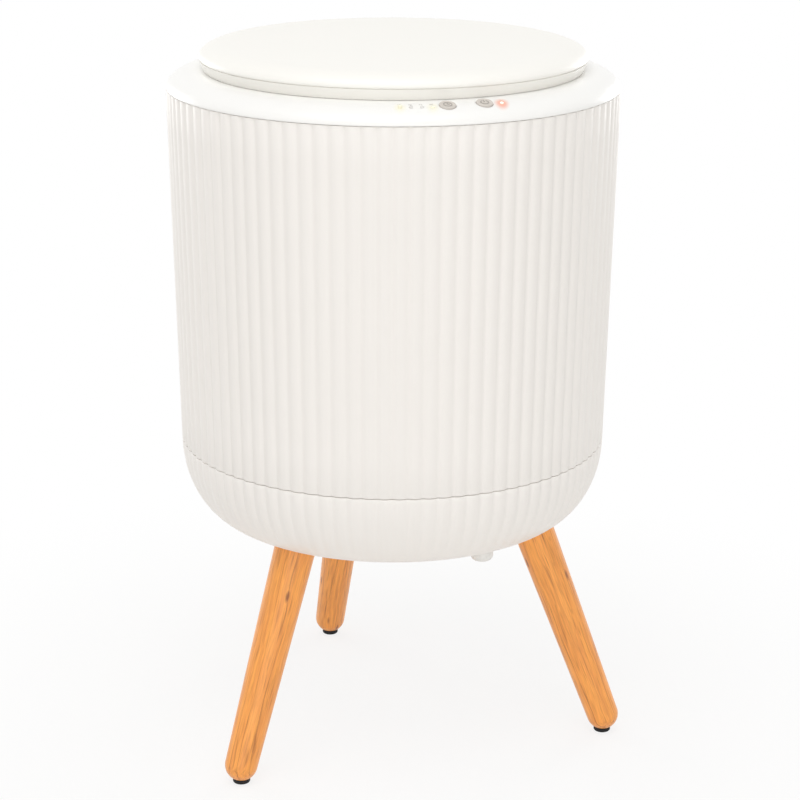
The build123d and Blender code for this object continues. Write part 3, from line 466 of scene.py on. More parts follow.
def add_piece(name, mesh, material, body, nodes, place=Matrix()):
    """Link a mesh as a visible piece: it moves with a body and stands for CAD nodes."""
    mesh.transform(place)
    mesh.materials.clear()
    mesh.materials.append(material)
    piece = bpy.data.objects.new(name, mesh)
    bpy.context.scene.collection.objects.link(piece)
    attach(piece, body)
    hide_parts(*nodes)
    return piece


def dress(material, *nodes):
    """Give CAD nodes that keep their own shape a finish."""
    for node in nodes:
        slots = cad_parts[node].data.materials
        slots.clear()
        slots.append(material)


def polar(radius, angle, height):
    """Point at a distance from the axis, an angle in degrees from +X and a height."""
    return Vector((radius * cos(radians(angle)), radius * sin(radians(angle)), height))


# ---------------------------------------------------------------- settings
def size_setting(name, description, default, **limits):
    """Length that a user can change."""
    return FloatProperty(name=name, description=description, default=default, unit="LENGTH", **limits)


def angle_setting(name, description, degrees):
    """Angle that a user can change."""
    return FloatProperty(name=name, description=description, default=radians(degrees), subtype="ANGLE")


def share_setting(name, description, default, low, high):
    """Share between two limits that a user can change."""
    return FloatProperty(
        name=name, description=description, default=default, min=low, max=high, subtype="FACTOR"
    )


def power_setting(name, description, default):
    """Power of a lamp that a user can change."""
    return FloatProperty(name=name, description=description, default=default, min=0, unit="POWER")


def colour_setting(name, description, code):
    """Colour that a user can change, given as an sRGB hex code."""
    return FloatVectorProperty(
        name=name, description=description, default=linear(code), size=4, min=0, max=1, subtype="COLOR"
    )


class HousingSettings(bpy.types.PropertyGroup):
    """Ribbed shell, bowl and top ring"""

    rib_count: IntProperty(name="Ribs", description="Ribs round the shell", default=93, min=12, max=240)
    rib_depth: size_setting("Rib depth", "Depth from crest to valley", 1.2 * MM, min=0)
    rib_crest: share_setting(
        "Crest share", "Share of a rib that is round crest; the rest is soft valley", 0.78, 0.3, 0.95
    )
    rib_fade: angle_setting("Rib fade", "Angle of the bowl's corner at which the ribs have died out", 78)
    shell_bottom: size_setting("Shell bottom radius", "Rib crests at the lower seam", 154.2 * MM)
    wall: size_setting("Wall", "Wall behind the valleys", 2.6 * MM, min=0.5 * MM)
    seam: size_setting("Seam", "Joint line between two mouldings", 0.5 * MM, min=0)
    lip: size_setting("Lip rounding", "Rounding of the edges at a seam", 0.4 * MM)
    corner: size_setting("Bowl corner", "Width of the bowl's rounded corner", 40 * MM)
    shoulder: size_setting("Ring shoulder", "Width of the ring's rounded shoulder", 26 * MM)
    rise: size_setting("Ring rise", "Height of the ring's shoulder", 12.3 * MM)
    opening: size_setting("Opening radius", "Inside radius of the ring", 121.5 * MM)
    shell_colour: colour_setting("Shell colour", "Satin white of the ribbed shell", "F3EFEA")
    ring_colour: colour_setting("Ring colour", "Glossier white of the top ring", "F6F5F2")


class LidSettings(bpy.types.PropertyGroup):
    """Lift-off lid"""

    radius: size_setting("Lid radius", "At the crease", LID_HIGH.x)
    foot: size_setting("Foot radius", "Under the finger grip", 133.6 * MM)
    crease: size_setting("Crease height", "Above the lid's foot", 8.4 * MM)
    edge: size_setting("Edge width", "Width of the rounded edge", 20 * MM)
    edge_rise: size_setting("Edge rise", "Height of the rounded edge", 9 * MM)
    wall: size_setting("Wall", "Thickness of the cover", 2.5 * MM)
    crease_round: size_setting("Crease rounding", "Rounding of the crease", 0.4 * MM)
    shadow_line: size_setting("Shadow line", "Width of the fine line under the crease", 0.6 * MM)
    colour: colour_setting("Lid colour", "Satin white of the lid", "F7F5EF")


class ControlSettings(bpy.types.PropertyGroup):
    """Buttons, lamps and timer figures on the ring"""

    circle: size_setting("Control circle", "Distance from the axis", 146.3 * MM)
    timer_angle: angle_setting("Timer button", "Angle from the front", -4.5)
    power_angle: angle_setting("Power button", "Angle from the front", 5.5)
    lamp_angle: angle_setting("Power lamp", "Angle from the front", 10.2)
    lamp_outset: size_setting("Lamp outset", "Of the lamps outwards from the buttons", 2 * MM)
    button_radius: size_setting("Button radius", "Outside radius", 5.6 * MM)
    proud: size_setting("Button height", "Above the ring's surface", 0.9 * MM)
    figure_height: size_setting("Figure height", "Height of the timer figures", 1.8 * MM)
    button_colour: colour_setting("Button colour", "Warm grey of the buttons", "D3CCC4")
    mark_colour: colour_setting("Mark colour", "Darker grey of the raised marks on the buttons", "A9A39C")
    # colours of the lamps' light as painted round them on the ring's colour
    power_painted_glow: colour_setting("Power light", "Red of the lit power lamp", "FFB8A2")
    timer_painted_glow: colour_setting("Timer light", "Warm yellow of a lit timer lamp", "FFFDEE")


class LegSettings(bpy.types.PropertyGroup):
    """Turned legs"""

    circle: size_setting("Foot circle", "Distance of the feet from the axis", 161.5 * MM)
    tilt: angle_setting("Tilt", "Outward lean from the vertical", 21.1)
    end_radius: size_setting("End radius", "Rounded lower end", 11.7 * MM)
    top_radius: size_setting("Top radius", "Top end in the bowl", 15.2 * MM)
    length: size_setting("Length", "From the middle of the rounded end to the top", 178.5 * MM)
    lift: size_setting("Lift", "Gap under the wood, filled by the foot pad", 1.8 * MM)
    light: colour_setting("Early wood", "Light tone between growth rings", "FFAB50")
    middle: colour_setting("Middle wood", "Tone that leads into a ring", "EE9A4A")
    dark: colour_setting("Late wood", "Dark tone of a growth ring", "9C5B2A")


class StageSettings(bpy.types.PropertyGroup):
    """Studio floor, light and camera"""

    shadow: share_setting("Shadow", "How much of the object's shadow the white floor shows", 0.2, 0, 1)
    floor_colour: colour_setting("Floor colour", "Pale studio floor", "ECEBE9")
    ambient: FloatProperty(name="Ambient", description="Strength of the world's white", default=0.645, min=0)
    overhead: power_setting("Overhead light", "Power of the softbox overhead", 17)
    front: power_setting("Front light", "Power of the softbox in front", 17)
    side: power_setting("Side lights", "Power of the softbox behind at the right; the left has less", 14.5)
    lens: FloatProperty(name="Lens", description="Focal length in millimetres", default=106.68, min=20)


SETTINGS = {
    "warmer_housing": HousingSettings,
    "warmer_lid": LidSettings,
    "warmer_controls": ControlSettings,
    "warmer_legs": LegSettings,
    "warmer_stage": StageSettings,
}

# angles in degrees: legs and screw pillars from +X, timer lamps from the front
LEG_ANGLES = {"front_left": -150.0, "front_right": -30.0, "rear": 90.0}
PILLAR_ANGLES = (-73.8, 46.2, 166.2)
TIMER_LAMPS = {"15": -17.0, "30": -14.2, "45": -11.4, "60": -8.6}
SHOWN_LIT = ("15", "60")


def ring_surface(settings, radius):
    """Height and slope, as an angle, of the ring's outside at a distance from the axis."""
    seat = RING_HIGH.x - settings.shoulder
    share = max(0.0, (radius - seat) / settings.shoulder)
    rest = sqrt(1 - share**2)
    height = SHELL_HIGH.z + settings.rise * rest
    return height, atan(settings.rise * share / (settings.shoulder * rest))


def control_place(housing, controls, turn, outset=0.0):
    """Frame of a control on the ring: its Z points out along the direction that all controls share."""
    height, slope = ring_surface(housing, controls.circle)
    outward = Vector((0, -sin(slope), cos(slope)))
    up_slope = Vector((0, cos(slope), sin(slope)))
    inwards = controls.circle * (1 - cos(turn)) * cos(slope)
    place = Vector((0, -controls.circle, height))
    place += Vector((1, 0, 0)) * controls.circle * sin(turn) + up_slope * (inwards - outset)
    frame_axes = Matrix((Vector((1, 0, 0)), up_slope, outward)).transposed()
    return Matrix.Translation(place) @ frame_axes.to_4x4()


def lamp_place(housing, controls, turn):
    """Frame of a lamp on the ring, a little further out than the buttons."""
    return control_place(housing, controls, turn, controls.lamp_outset)


def stepped_outline(inner, low, *steps):
    """Outline of a round stepped piece or hole: each step is a radius and the height up to which it goes."""
    outline = [(inner, low)]
    for radius, height in steps:
        outline += [(radius, low), (radius, height)]
        low = height
    return [*outline, (inner, low)]


def ribbed(name, outline, housing):
    """Solid turned from an outline, with the housing's ribs where the outline gives them a depth."""
    ribs = (housing.rib_count, housing.rib_crest)
    return turned(name, outline, steps=housing.rib_count * RIB_STEPS, ribs=ribs)


# ---------------------------------------------------------------- operators
class WARMER_OT_shell(bpy.types.Operator):
    """Build the ribbed shell with rounded lips at its two seams"""

    bl_idname = "warmer.shell"
    bl_label = "Ribbed shell"

    def execute(self, context):
        housing = context.scene.warmer_housing
        low = SHELL_LOW.z + housing.seam / 2
        high = SHELL_HIGH.z - housing.seam / 2
        lip = housing.lip
        inset = LIP_MIDDLE * lip
        deep = housing.rib_depth
        back = deep + housing.wall

        def crest(height):
            share = (height - SHELL_LOW.z) / (SHELL_HIGH.z - SHELL_LOW.z)
            return housing.shell_bottom + (RING_HIGH.x - housing.shell_bottom) * share

        outline = [(crest(low) - lip, low, deep), (crest(low) - inset, low + inset, deep)]
        rows = 10
        for k in range(rows + 1):
            height = low + lip + (high - low - 2 * lip) * k / rows
            outline.append((crest(height), height, deep))
        outline += [(crest(high) - inset, high - inset, deep), (crest(high) - lip, high, deep)]
        outline += [(crest(high) - back, high), (crest(low) - back, low)]
        # satin white ABS from a spark-eroded tool: soft highlights along each rib
        finish = moulded_plastic("abs_moulded_satin_white", housing.shell_colour, 0.46)
        mesh = ribbed("ribbed_shell", outline, housing)
        add_piece("ribbed_shell", mesh, finish, "body", ["body_shell"])
        return {"FINISHED"}


def bowl_outline(housing):
    """Outline of the bowl: ribs that fade in the corner, the wall, and the tongue inside the shell."""
    seam_z = SHELL_LOW.z
    flat = housing.shell_bottom - housing.corner
    drop = seam_z - BOWL_LOW.z
    top = seam_z - housing.seam / 2
    crest = housing.shell_bottom
    deep = housing.rib_depth
    lip = housing.lip
    inset = LIP_MIDDLE * lip
    fade = housing.rib_fade
    first = (housing.seam / 2 + lip) / drop
    outline = [(crest - lip, top, deep), (crest - inset, top - inset, deep)]
    ribbed_rows = 28
    for k in range(ribbed_rows + 1):
        turn = first + (fade - first) * k / ribbed_rows
        radius = flat + housing.corner * cos(turn)
        outline.append((radius, seam_z - drop * sin(turn), deep * (1 - turn / fade)))
    plain_rows = 6
    for k in range(1, plain_rows + 1):
        turn = fade + (pi / 2 - fade) * k / plain_rows
        outline.append((flat + housing.corner * cos(turn), seam_z - drop * sin(turn)))
    tongue_out = housing.shell_bottom - deep - housing.wall - PLAY
    tongue_in = tongue_out - TONGUE
    outline += [(0.0, BOWL_LOW.z), (0.0, BOWL_LOW.z + BOWL_WALL)]
    outline += elliptic((flat, seam_z), tongue_in - flat, drop - BOWL_WALL, -90, 0, steps=20)
    outline += [(tongue_in, BOWL_HIGH.z), (tongue_out, BOWL_HIGH.z), (tongue_out, top)]
    return outline


class WARMER_OT_bowl(bpy.types.Operator):
    """Build the base bowl: ribs that die out in its corner, and holes for legs, screws and cord gland"""

    bl_idname = "warmer.bowl"
    bl_label = "Base bowl"

    def execute(self, context):
        housing = context.scene.warmer_housing
        legs = context.scene.warmer_legs
        flat = housing.shell_bottom - housing.corner
        drop = SHELL_LOW.z - BOWL_LOW.z
        in_wall = BOWL_LOW.z + BOWL_WALL / 2
        skin = ribbed("base_bowl", bowl_outline(housing), housing)
        cutters = []
        fittings = []

        # a socket for each leg, and a cup that goes over its top and leaves room for its bolt
        length = legs.length
        cup_wall = 2.9 * MM
        cup_low = 0.975 * length
        cup_top = length + 9 * MM
        bolt_room = 5.5 * MM
        fit = legs.top_radius + PLAY
        start = length - 36 * MM
        thick = legs.end_radius + (legs.top_radius - legs.end_radius) * start / length
        cone = [(0, start), (thick + PLAY, start), (fit, length), (0, length)]
        cup = stepped_outline(fit, cup_low, (legs.top_radius + cup_wall, cup_top), (bolt_room, length))
        for angle in LEG_ANGLES.values():
            place = leg_place(legs, angle)
            cutters.append((turned("socket", cone, steps=96), place))
            fittings.append((turned("cup", cup, steps=96), place))

        # hollow pillars, open from below, in which screws go up to the nuts under the bucket
        screw_room = 4.2 * MM
        shield_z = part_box("heat_shield")[0].z
        nut_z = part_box("weld_nuts")[0].z
        below, above = 0.15, 0.18
        mouth = stepped_outline(0, below, (screw_room, above))
        # the heat shield lies on the shoulder, and each nut on a web that its screw goes through
        shoulder = (7 * MM, shield_z)
        neck = (5.2 * MM, nut_z)
        web = (2 * MM, nut_z - 3 * MM)
        pillar = stepped_outline(screw_room, in_wall, shoulder, neck, web)
        for angle in PILLAR_ANGLES:
            spot = Matrix.Translation(polar(flat - 2.2 * MM, angle, 0))
            cutters.append((turned("mouth", mouth, steps=64), spot))
            fittings.append((turned("pillar", pillar, steps=48), spot))

        # four posts under the power board
        post = stepped_outline(1.5 * MM, in_wall, (3.2 * MM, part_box("power_board")[0].z))
        half_length, half_width = 41.5 * MM, 26.5 * MM
        for x in (-half_length, half_length):
            for y in (-half_width, half_width):
                fittings.append((turned("post", post, steps=32), Matrix.Translation((x, y, 0))))

        # the cord gland's hole, with a flat seat outside and a pad behind it
        gland_low, gland_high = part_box("cord_gland")
        gland_z = (gland_low.z + gland_high.z) / 2
        turn = Matrix.Rotation(radians(GLAND_ANGLE), 4, "Z") @ Matrix.Rotation(pi / 2, 4, "Y")
        place = Matrix.Translation((0, 0, gland_z)) @ turn
        share = (SHELL_LOW.z - gland_z) / drop
        seat_depth = 2.5 * MM
        bore, seat_radius, pad_radius = 7 * MM, 10.3 * MM, 13 * MM
        seat = flat + housing.corner * sqrt(1 - share**2) - seat_depth - housing.rib_depth
        hole = stepped_outline(0, seat - 20 * MM, (bore, seat), (seat_radius, seat + 12 * MM))
        cutters.append((turned("gland_hole", hole, steps=96), place))
        pad = stepped_outline(bore, seat - 3 * MM, (pad_radius, seat - 0.02 * MM))
        fittings.append((turned("gland_seat", pad, steps=64), place))

        mesh = joined("base_bowl", [(cut(skin, joined("cutters", cutters)), Matrix()), *fittings])
        # the shell's white ABS, a little smoother: a soft highlight runs round the corner
        finish = moulded_plastic("abs_moulded_satin_white_bowl", housing.shell_colour, 0.44)
        add_piece("bowl_base", mesh, finish, "body", ["base_bowl"])
        return {"FINISHED"}


class WARMER_OT_ring(bpy.types.Operator):
    """Build the glossy top ring with its holes for buttons and lamps"""

    bl_idname = "warmer.ring"
    bl_label = "Top ring"

    def execute(self, context):
        housing = context.scene.warmer_housing
        controls = context.scene.warmer_controls
        seat_z = SHELL_HIGH.z + housing.rise
        seat = RING_HIGH.x - housing.shoulder
        low = SHELL_HIGH.z + 0.1 * MM
        lip = housing.lip
        inset = LIP_MIDDLE * lip
        under = seat_z - 4.6 * MM
        skirt = RING_HIGH.x - housing.rib_depth - housing.wall - PLAY
        skirt_in = skirt - TONGUE
        skirt_z = SHELL_HIGH.z - 8 * MM
        first = (low + lip - SHELL_HIGH.z) / housing.rise
        edge = 1.2 * MM
        hole = housing.opening
        outline = rounded([(hole, under, 0), (hole, seat_z, edge), (seat, seat_z, 0)], steps=8)[:-1]
        centre = (seat, SHELL_HIGH.z)
        outline += elliptic(centre, housing.shoulder, housing.rise, 90, first * 180 / pi, steps=40)
        outline += [(RING_HIGH.x - inset, low + inset), (RING_HIGH.x - lip, low)]
        outline += [(skirt, low), (skirt, skirt_z), (skirt_in, skirt_z)]
        inner_rise = housing.rise - 2.6 * MM
        outline += elliptic(centre, skirt_in - seat, inner_rise, 0, 90, steps=16)
        outline += [(seat, under)]
        ring = turned("top_ring", outline, steps=384)

        # holes run from inside the ring to above its surface, and a button's is wider behind, for its rim
        inside = -14 * MM
        behind = -3.6 * MM
        above = 4 * MM
        bore = controls.button_radius + PLAY
        lens_play = 0.05 * MM
        button_hole = stepped_outline(0, inside, (bore + BUTTON_RIM, behind), (bore, above))
        lamp_hole = stepped_outline(0, inside, (LENS_RADIUS + lens_play, above))
        holes = []
        for turn in (controls.timer_angle, controls.power_angle):
            place = control_place(housing, controls, turn)
            holes.append((turned("button_hole", button_hole, steps=96), place))
        lamps = [lamp_place(housing, controls, controls.lamp_angle)]
        lamps += [lamp_place(housing, controls, radians(angle)) for angle in TIMER_LAMPS.values()]
        for place in lamps:
            holes.append((turned("lamp_hole", lamp_hole, steps=48), place))
        mesh = cut(ring, joined("ring_holes", holes))

        # painted glow: each lamp's light is painted into the ring's colour out to this reach
        power_reach, timer_reach = 6.2 * MM, 5.6 * MM
        painted_glows = [(lamps[0].translation, controls.power_painted_glow, power_reach)]
        for figure in SHOWN_LIT:
            place = lamp_place(housing, controls, radians(TIMER_LAMPS[figure]))
            painted_glows.append((place.translation, controls.timer_painted_glow, timer_reach))
        # polished tool: glossier than the ribs, so the ring carries clean soft highlights
        finish = plastic_with_painted_glow("abs_moulded_gloss_white_painted_glow", housing.ring_colour, 0.3, painted_glows)
        add_piece("rim_ring", mesh, finish, "body", ["top_ring"])
        return {"FINISHED"}


class WARMER_OT_lid(bpy.types.Operator):
    """Build the lid cover with its creased edge, and finish the liner, seals and insulation under it"""

    bl_idname = "warmer.lid"
    bl_label = "Lid"

    def execute(self, context):
        lid = context.scene.warmer_lid
        # the foot's lip nearly meets the ring
        foot_z = LID_LOW.z - 0.2 * MM
        crease_z = LID_LOW.z + lid.crease
        flat = lid.radius - lid.edge
        edge_z = crease_z + lid.edge_rise
        crown = LID_HIGH.z - edge_z
        inside = lid.foot - lid.wall
        outline = [(0.0, LID_HIGH.z)]
        crown_rows = 12
        for k in range(1, crown_rows):
            share = k / crown_rows
            outline.append((flat * share, LID_HIGH.z - crown * share**2))
        # the crease is rounded between the elliptic edge and the grip face that leans in under it
        edge_end = 6.0
        outline += elliptic((flat, crease_z), lid.edge, lid.edge_rise, 90, edge_end, steps=30)
        above = outline[-1]
        lean = (lid.radius - lid.foot) / lid.crease
        below = (lid.radius - lean * lid.crease_round, crease_z - lid.crease_round)
        crease_rows = 7
        for k in range(1, crease_rows):
            share = k / crease_rows
            early, middle, late = (1 - share) ** 2, 2 * share * (1 - share), share**2
            across = early * above[0] + middle * lid.radius + late * below[0]
            outline.append((across, early * above[1] + middle * crease_z + late * below[1]))
        outline.append(below)
        # a fine shadow line under the crease, where the two halves of the mould met
        line = lid.shadow_line
        depth = 1.8 * line
        outline += [
            (below[0] - depth, below[1] - 0.1 * line),
            (below[0] - depth, below[1] - 1.1 * line),
            (below[0] - lean * 1.2 * line, below[1] - 1.2 * line),
        ]
        lip = 0.3 * MM
        outline += [(lid.foot + lip * lean, foot_z + lip), (lid.foot - lip, foot_z), (inside, foot_z)]
        inner_rise = lid.edge_rise - lid.wall
        outline += elliptic((flat, crease_z), inside - flat, inner_rise, 0, 90, steps=16)
        outline += [(0.0, edge_z - lid.wall)]
        parts = [(turned("lid_cover", outline, steps=384), Matrix())]
        # bosses for the four screws that hold the liner
        screw_circle = 124.6 * MM
        bore, boss_radius = 1.5 * MM, 3.5 * MM
        boss = stepped_outline(bore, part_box("lid_liner")[1].z, (boss_radius, edge_z - 3.75 * MM))
        for angle in (45, 135, 225, 315):
            spot = Matrix.Translation(polar(screw_circle, angle, 0))
            parts.append((turned("boss", boss, steps=40), spot))
        # satin white ABS, a touch warmer than the ring
        finish = moulded_plastic("abs_moulded_satin_white_lid", lid.colour, 0.4)
        add_piece("lid_dome", joined("lid_cover", parts), finish, "lid", ["lid_cover"])
        # polypropylene liner: slightly waxy and cooler than the cover
        dress(moulded_plastic("polypropylene_moulded_liner", linear("EDECE8"), 0.38), "lid_liner")
        # silicone seals: pale grey and matt
        dress(moulded_rubber("silicone_moulded_seal", linear("C9C8C4")), "lid_gasket", "rim_gasket")
        # blown foam: white, with cells about a millimetre wide
        dress(needled_felt("polystyrene_blown_foam", linear("F2F2F0"), 1.2), "lid_insulation")
        return {"FINISHED"}


def ribbon(points, width, low, high):
    """Closed raised stroke of a width along points, between two heights, with its top a little narrower."""
    narrowing = 0.03
    corners = []
    for i, point in enumerate(points):
        before = points[max(i - 1, 0)]
        after = points[min(i + 1, len(points) - 1)]
        along = (Vector(after) - Vector(before)).normalized()
        across = Vector((-along.y, along.x)) * width / 2
        left = Vector(point) + across
        right = Vector(point) - across
        top_right = right * (1 - narrowing) + left * narrowing
        top_left = left * (1 - narrowing) + right * narrowing
        corners += [(*left, low), (*right, low), (*top_right, high), (*top_left, high)]
    faces = [(0, 1, 2, 3), tuple(len(corners) - k for k in (1, 2, 3, 4))]
    for i in range(len(points) - 1):
        for k in range(4):
            n = (k + 1) % 4
            faces.append((4 * i + k, 4 * i + n, 4 * i + 4 + n, 4 * i + 4 + k))
    return solid_mesh("stroke", corners, faces)


class WARMER_OT_buttons(bpy.types.Operator):
    """Build the timer and power buttons with their raised marks"""

    bl_idname = "warmer.buttons"
    bl_label = "Buttons"

    def execute(self, context):
        housing = context.scene.warmer_housing
        controls = context.scene.warmer_controls
        radius = controls.button_radius
        proud = controls.proud
        # the face lies a little below a rounded edge
        face = proud - 0.3 * MM
        dish = radius - 1.5 * MM
        edge = 0.6 * MM
        outline = [(0.0, face), (dish - 0.4 * MM, face), (dish, face + 0.1 * MM)]
        outline += [(dish + 0.3 * MM, proud - 0.04 * MM)]
        outline += elliptic((radius - edge, proud - edge), edge, edge, 90, 0, steps=8)
        # behind the ring, a rim keeps the button in and a stem meets its plunger
        rim_front, rim_back, stem_end = -3.7 * MM, -4.7 * MM, -6.3 * MM
        stem_radius = 2 * MM
        rim = (radius + BUTTON_RIM, rim_back)
        outline += stepped_outline(radius, rim_front, rim, (stem_radius, stem_end))[:-1]
        outline += [(0.0, stem_end)]
        clock = [
            elliptic((0, 0), 2.7 * MM, 2.7 * MM, 0, 360, steps=48),
            [(0, -0.3 * MM), (0, 1.75 * MM)],
            [(-0.3 * MM, 0), (1.4 * MM, 0)],
        ]
        standby = [
            elliptic((0, 0), 2.6 * MM, 2.6 * MM, 122, 418, steps=40),
            [(0, 0.5 * MM), (0, 3.1 * MM)],
        ]
        low = face - 0.1 * MM
        high = proud - 0.05 * MM
        width = 0.62 * MM
        # warm grey ABS with a fine matt grain
        finish = moulded_plastic("abs_moulded_matt_grey", controls.button_colour, 0.5, grain=0.5)
        # the raised marks are wiped with a darker grey ink
        ink = moulded_plastic("roller_printed_dark_grey", controls.mark_colour, 0.55, grain=0.4)
        keys = (("timer", controls.timer_angle, clock), ("power", controls.power_angle, standby))
        for name, turn, strokes in keys:
            node = f"{name}_button"
            place = control_place(housing, controls, turn)
            cap = turned(f"{name}_cap", outline, steps=96)
            add_piece(f"{name}_key", cap, finish, node, [node], place)
            raised = [(ribbon(stroke, width, low, high), Matrix()) for stroke in strokes]
            mark = joined(f"{name}_mark", raised)
            add_piece(f"{name}_mark", mark, ink, node, [], place)
        # switch cases and plungers in black PBT: dark, with a soft gloss
        black = moulded_plastic("pbt_moulded_black", linear("1C1C1D"), 0.42)
        dress(black, "timer_plunger", "power_plunger", "timer_switch", "power_switch")
        return {"FINISHED"}


class WARMER_OT_lamps(bpy.types.Operator):
    """Build the lamp lenses and print the timer figures on the ring"""

    bl_idname = "warmer.lamps"
    bl_label = "Lamps and figures"

    def execute(self, context):
        housing = context.scene.warmer_housing
        controls = context.scene.warmer_controls
        # a low dome in front, and a straight light guide behind it
        depth = 6.4 * MM
        outline = [(0.0, 0.1 * MM), (0.6 * MM, 0.07 * MM), (1.05 * MM, -0.02 * MM)]
        outline += [(LENS_RADIUS, -0.16 * MM), (LENS_RADIUS, -depth), (0.0, -depth)]
        place = lamp_place(housing, controls, controls.lamp_angle)
        red = diffusing_lens("polycarbonate_lens_red_lit", linear("FFD9CE"), place.translation, 1.6)
        mesh = turned("power_lens", outline, steps=48)
        add_piece("power_lamp_lens", mesh, red, "body", ["power_lens"], place)
        unlit = diffusing_lens("polycarbonate_lens_unlit", linear("F6F4F0"))
        for figure, angle in TIMER_LAMPS.items():
            place = lamp_place(housing, controls, radians(angle))
            lens = unlit
            if figure in SHOWN_LIT:
                name = f"polycarbonate_lens_yellow_lit_{figure}"
                lens = diffusing_lens(name, linear("FFFBE2"), place.translation, 0.25)
            mesh = turned("timer_lens", outline, steps=48)
            name = f"timer_lamp_lens_{figure}"
            add_piece(name, mesh, lens, "body", ["timer_lenses"], place)
        # the lamps themselves in cast epoxy: tinted and milky
        dress(diffusing_lens("epoxy_cast_lamp_amber", linear("F2CC5C")), "timer_lamps")
        dress(diffusing_lens("epoxy_cast_lamp_red", linear("D9301F")), "power_lamp")
        self.print_figures(housing, controls)
        return {"FINISHED"}

    def print_figures(self, housing, controls):
        """Lay each figure on the ring's surface, between its lamp and the lid."""
        # pad-printed ink: thin, matt and grey
        ink = moulded_plastic("pad_printed_grey_ink", linear("B9B6B1"), 0.6, grain=0.3, depth=0.004)
        row = controls.circle + controls.lamp_outset - 4.4 * MM
        # the typeface's figures are 0.7 of its size high
        scale = controls.figure_height / 0.7
        lift = 0.03 * MM
        for figure, angle in TIMER_LAMPS.items():
            text = bpy.data.curves.new("figure", "FONT")
            text.body = figure
            text.align_x = "CENTER"
            text.align_y = "CENTER"
            draft = bpy.data.objects.new("draft", text)
            bpy.context.scene.collection.objects.link(draft)
            graph = bpy.context.evaluated_depsgraph_get()
            mesh = bpy.data.meshes.new_from_object(draft.evaluated_get(graph))
            bpy.data.objects.remove(draft)
            for vertex in mesh.vertices:
                radius = row - vertex.co.y * scale
                height, slope = ring_surface(housing, radius)
                turn = radians(angle - 90) + vertex.co.x * scale / row
                out = radius + lift * sin(slope)
                vertex.co = (out * cos(turn), out * sin(turn), height + lift * cos(slope))
            add_piece(f"timer_figure_{figure}", mesh, ink, "body", [])


def leg_place(legs, angle):
    """Frame of a leg: its origin is the middle of the rounded end, and Z runs up the leg."""
    axis = polar(-sin(legs.tilt), angle, cos(legs.tilt))
    side = polar(1.0, angle + 90, 0.0)
    axes = Matrix((side, axis.cross(side), axis)).transposed()
    return Matrix.Translation(polar(legs.circle, angle, legs.lift + legs.end_radius)) @ axes.to_4x4()


class WARMER_OT_legs(bpy.types.Operator):
    """Turn the three wooden legs and finish their foot pads and the bumper caps"""

    bl_idname = "warmer.legs"
    bl_label = "Legs and feet"

    def execute(self, context):
        legs = context.scene.warmer_legs
        outline = elliptic((0, 0), legs.end_radius, legs.end_radius, -90, 0, steps=20)
        outline[0] = (0.0, -legs.end_radius)
        rows = 12
        for k in range(1, rows + 1):
            share = k / rows
            radius = legs.end_radius + (legs.top_radius - legs.end_radius) * share
            outline.append((radius, legs.length * share))
        # the hole for the bolt in the top end
        bolt_hole = 4 * MM
        hole_end = legs.length - 22 * MM
        outline += [(bolt_hole, legs.length), (bolt_hole, hole_end), (0.0, hole_end)]
        # the hole for the foot pad and its screw in the lower end
        pad = (6.5 * MM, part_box("foot_pad_rear")[1].z)
        screw = (1.6 * MM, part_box("foot_screws")[1].z)
        recess = turned("recess", stepped_outline(0, -1 * MM, pad, screw), steps=64)
        for number, (name, angle) in enumerate(LEG_ANGLES.items()):
            place = leg_place(legs, angle)
            into_leg = place.inverted()
            foot = Matrix.Translation(polar(legs.circle, angle, 0))
            blank = turned(f"wooden_leg_{name}", outline, steps=96)
            mesh = cut(blank, joined("foot_hole", [(recess, into_leg @ foot)]))
            # each leg comes from another stretch of wood
            shift = (1.3 * number + 0.21, 0.7 * number, 3.1 * number)
            finish = f"beech_turned_lacquered_{name}"
            wood = turned_beech(finish, into_leg, shift, legs.light, legs.middle, legs.dark)
            add_piece(f"wooden_leg_{name}", mesh, wood, "body", [f"leg_{name}"], place)
        # rubber: matt black pads, and white caps like the bowl
        pads = moulded_rubber("rubber_moulded_black", linear("0B0B0C"))
        dress(pads, "foot_pad_front_left", "foot_pad_front_right", "foot_pad_rear")
        dress(moulded_rubber("rubber_moulded_white", linear("EEECE8")), "bumper_caps")
        return {"FINISHED"}


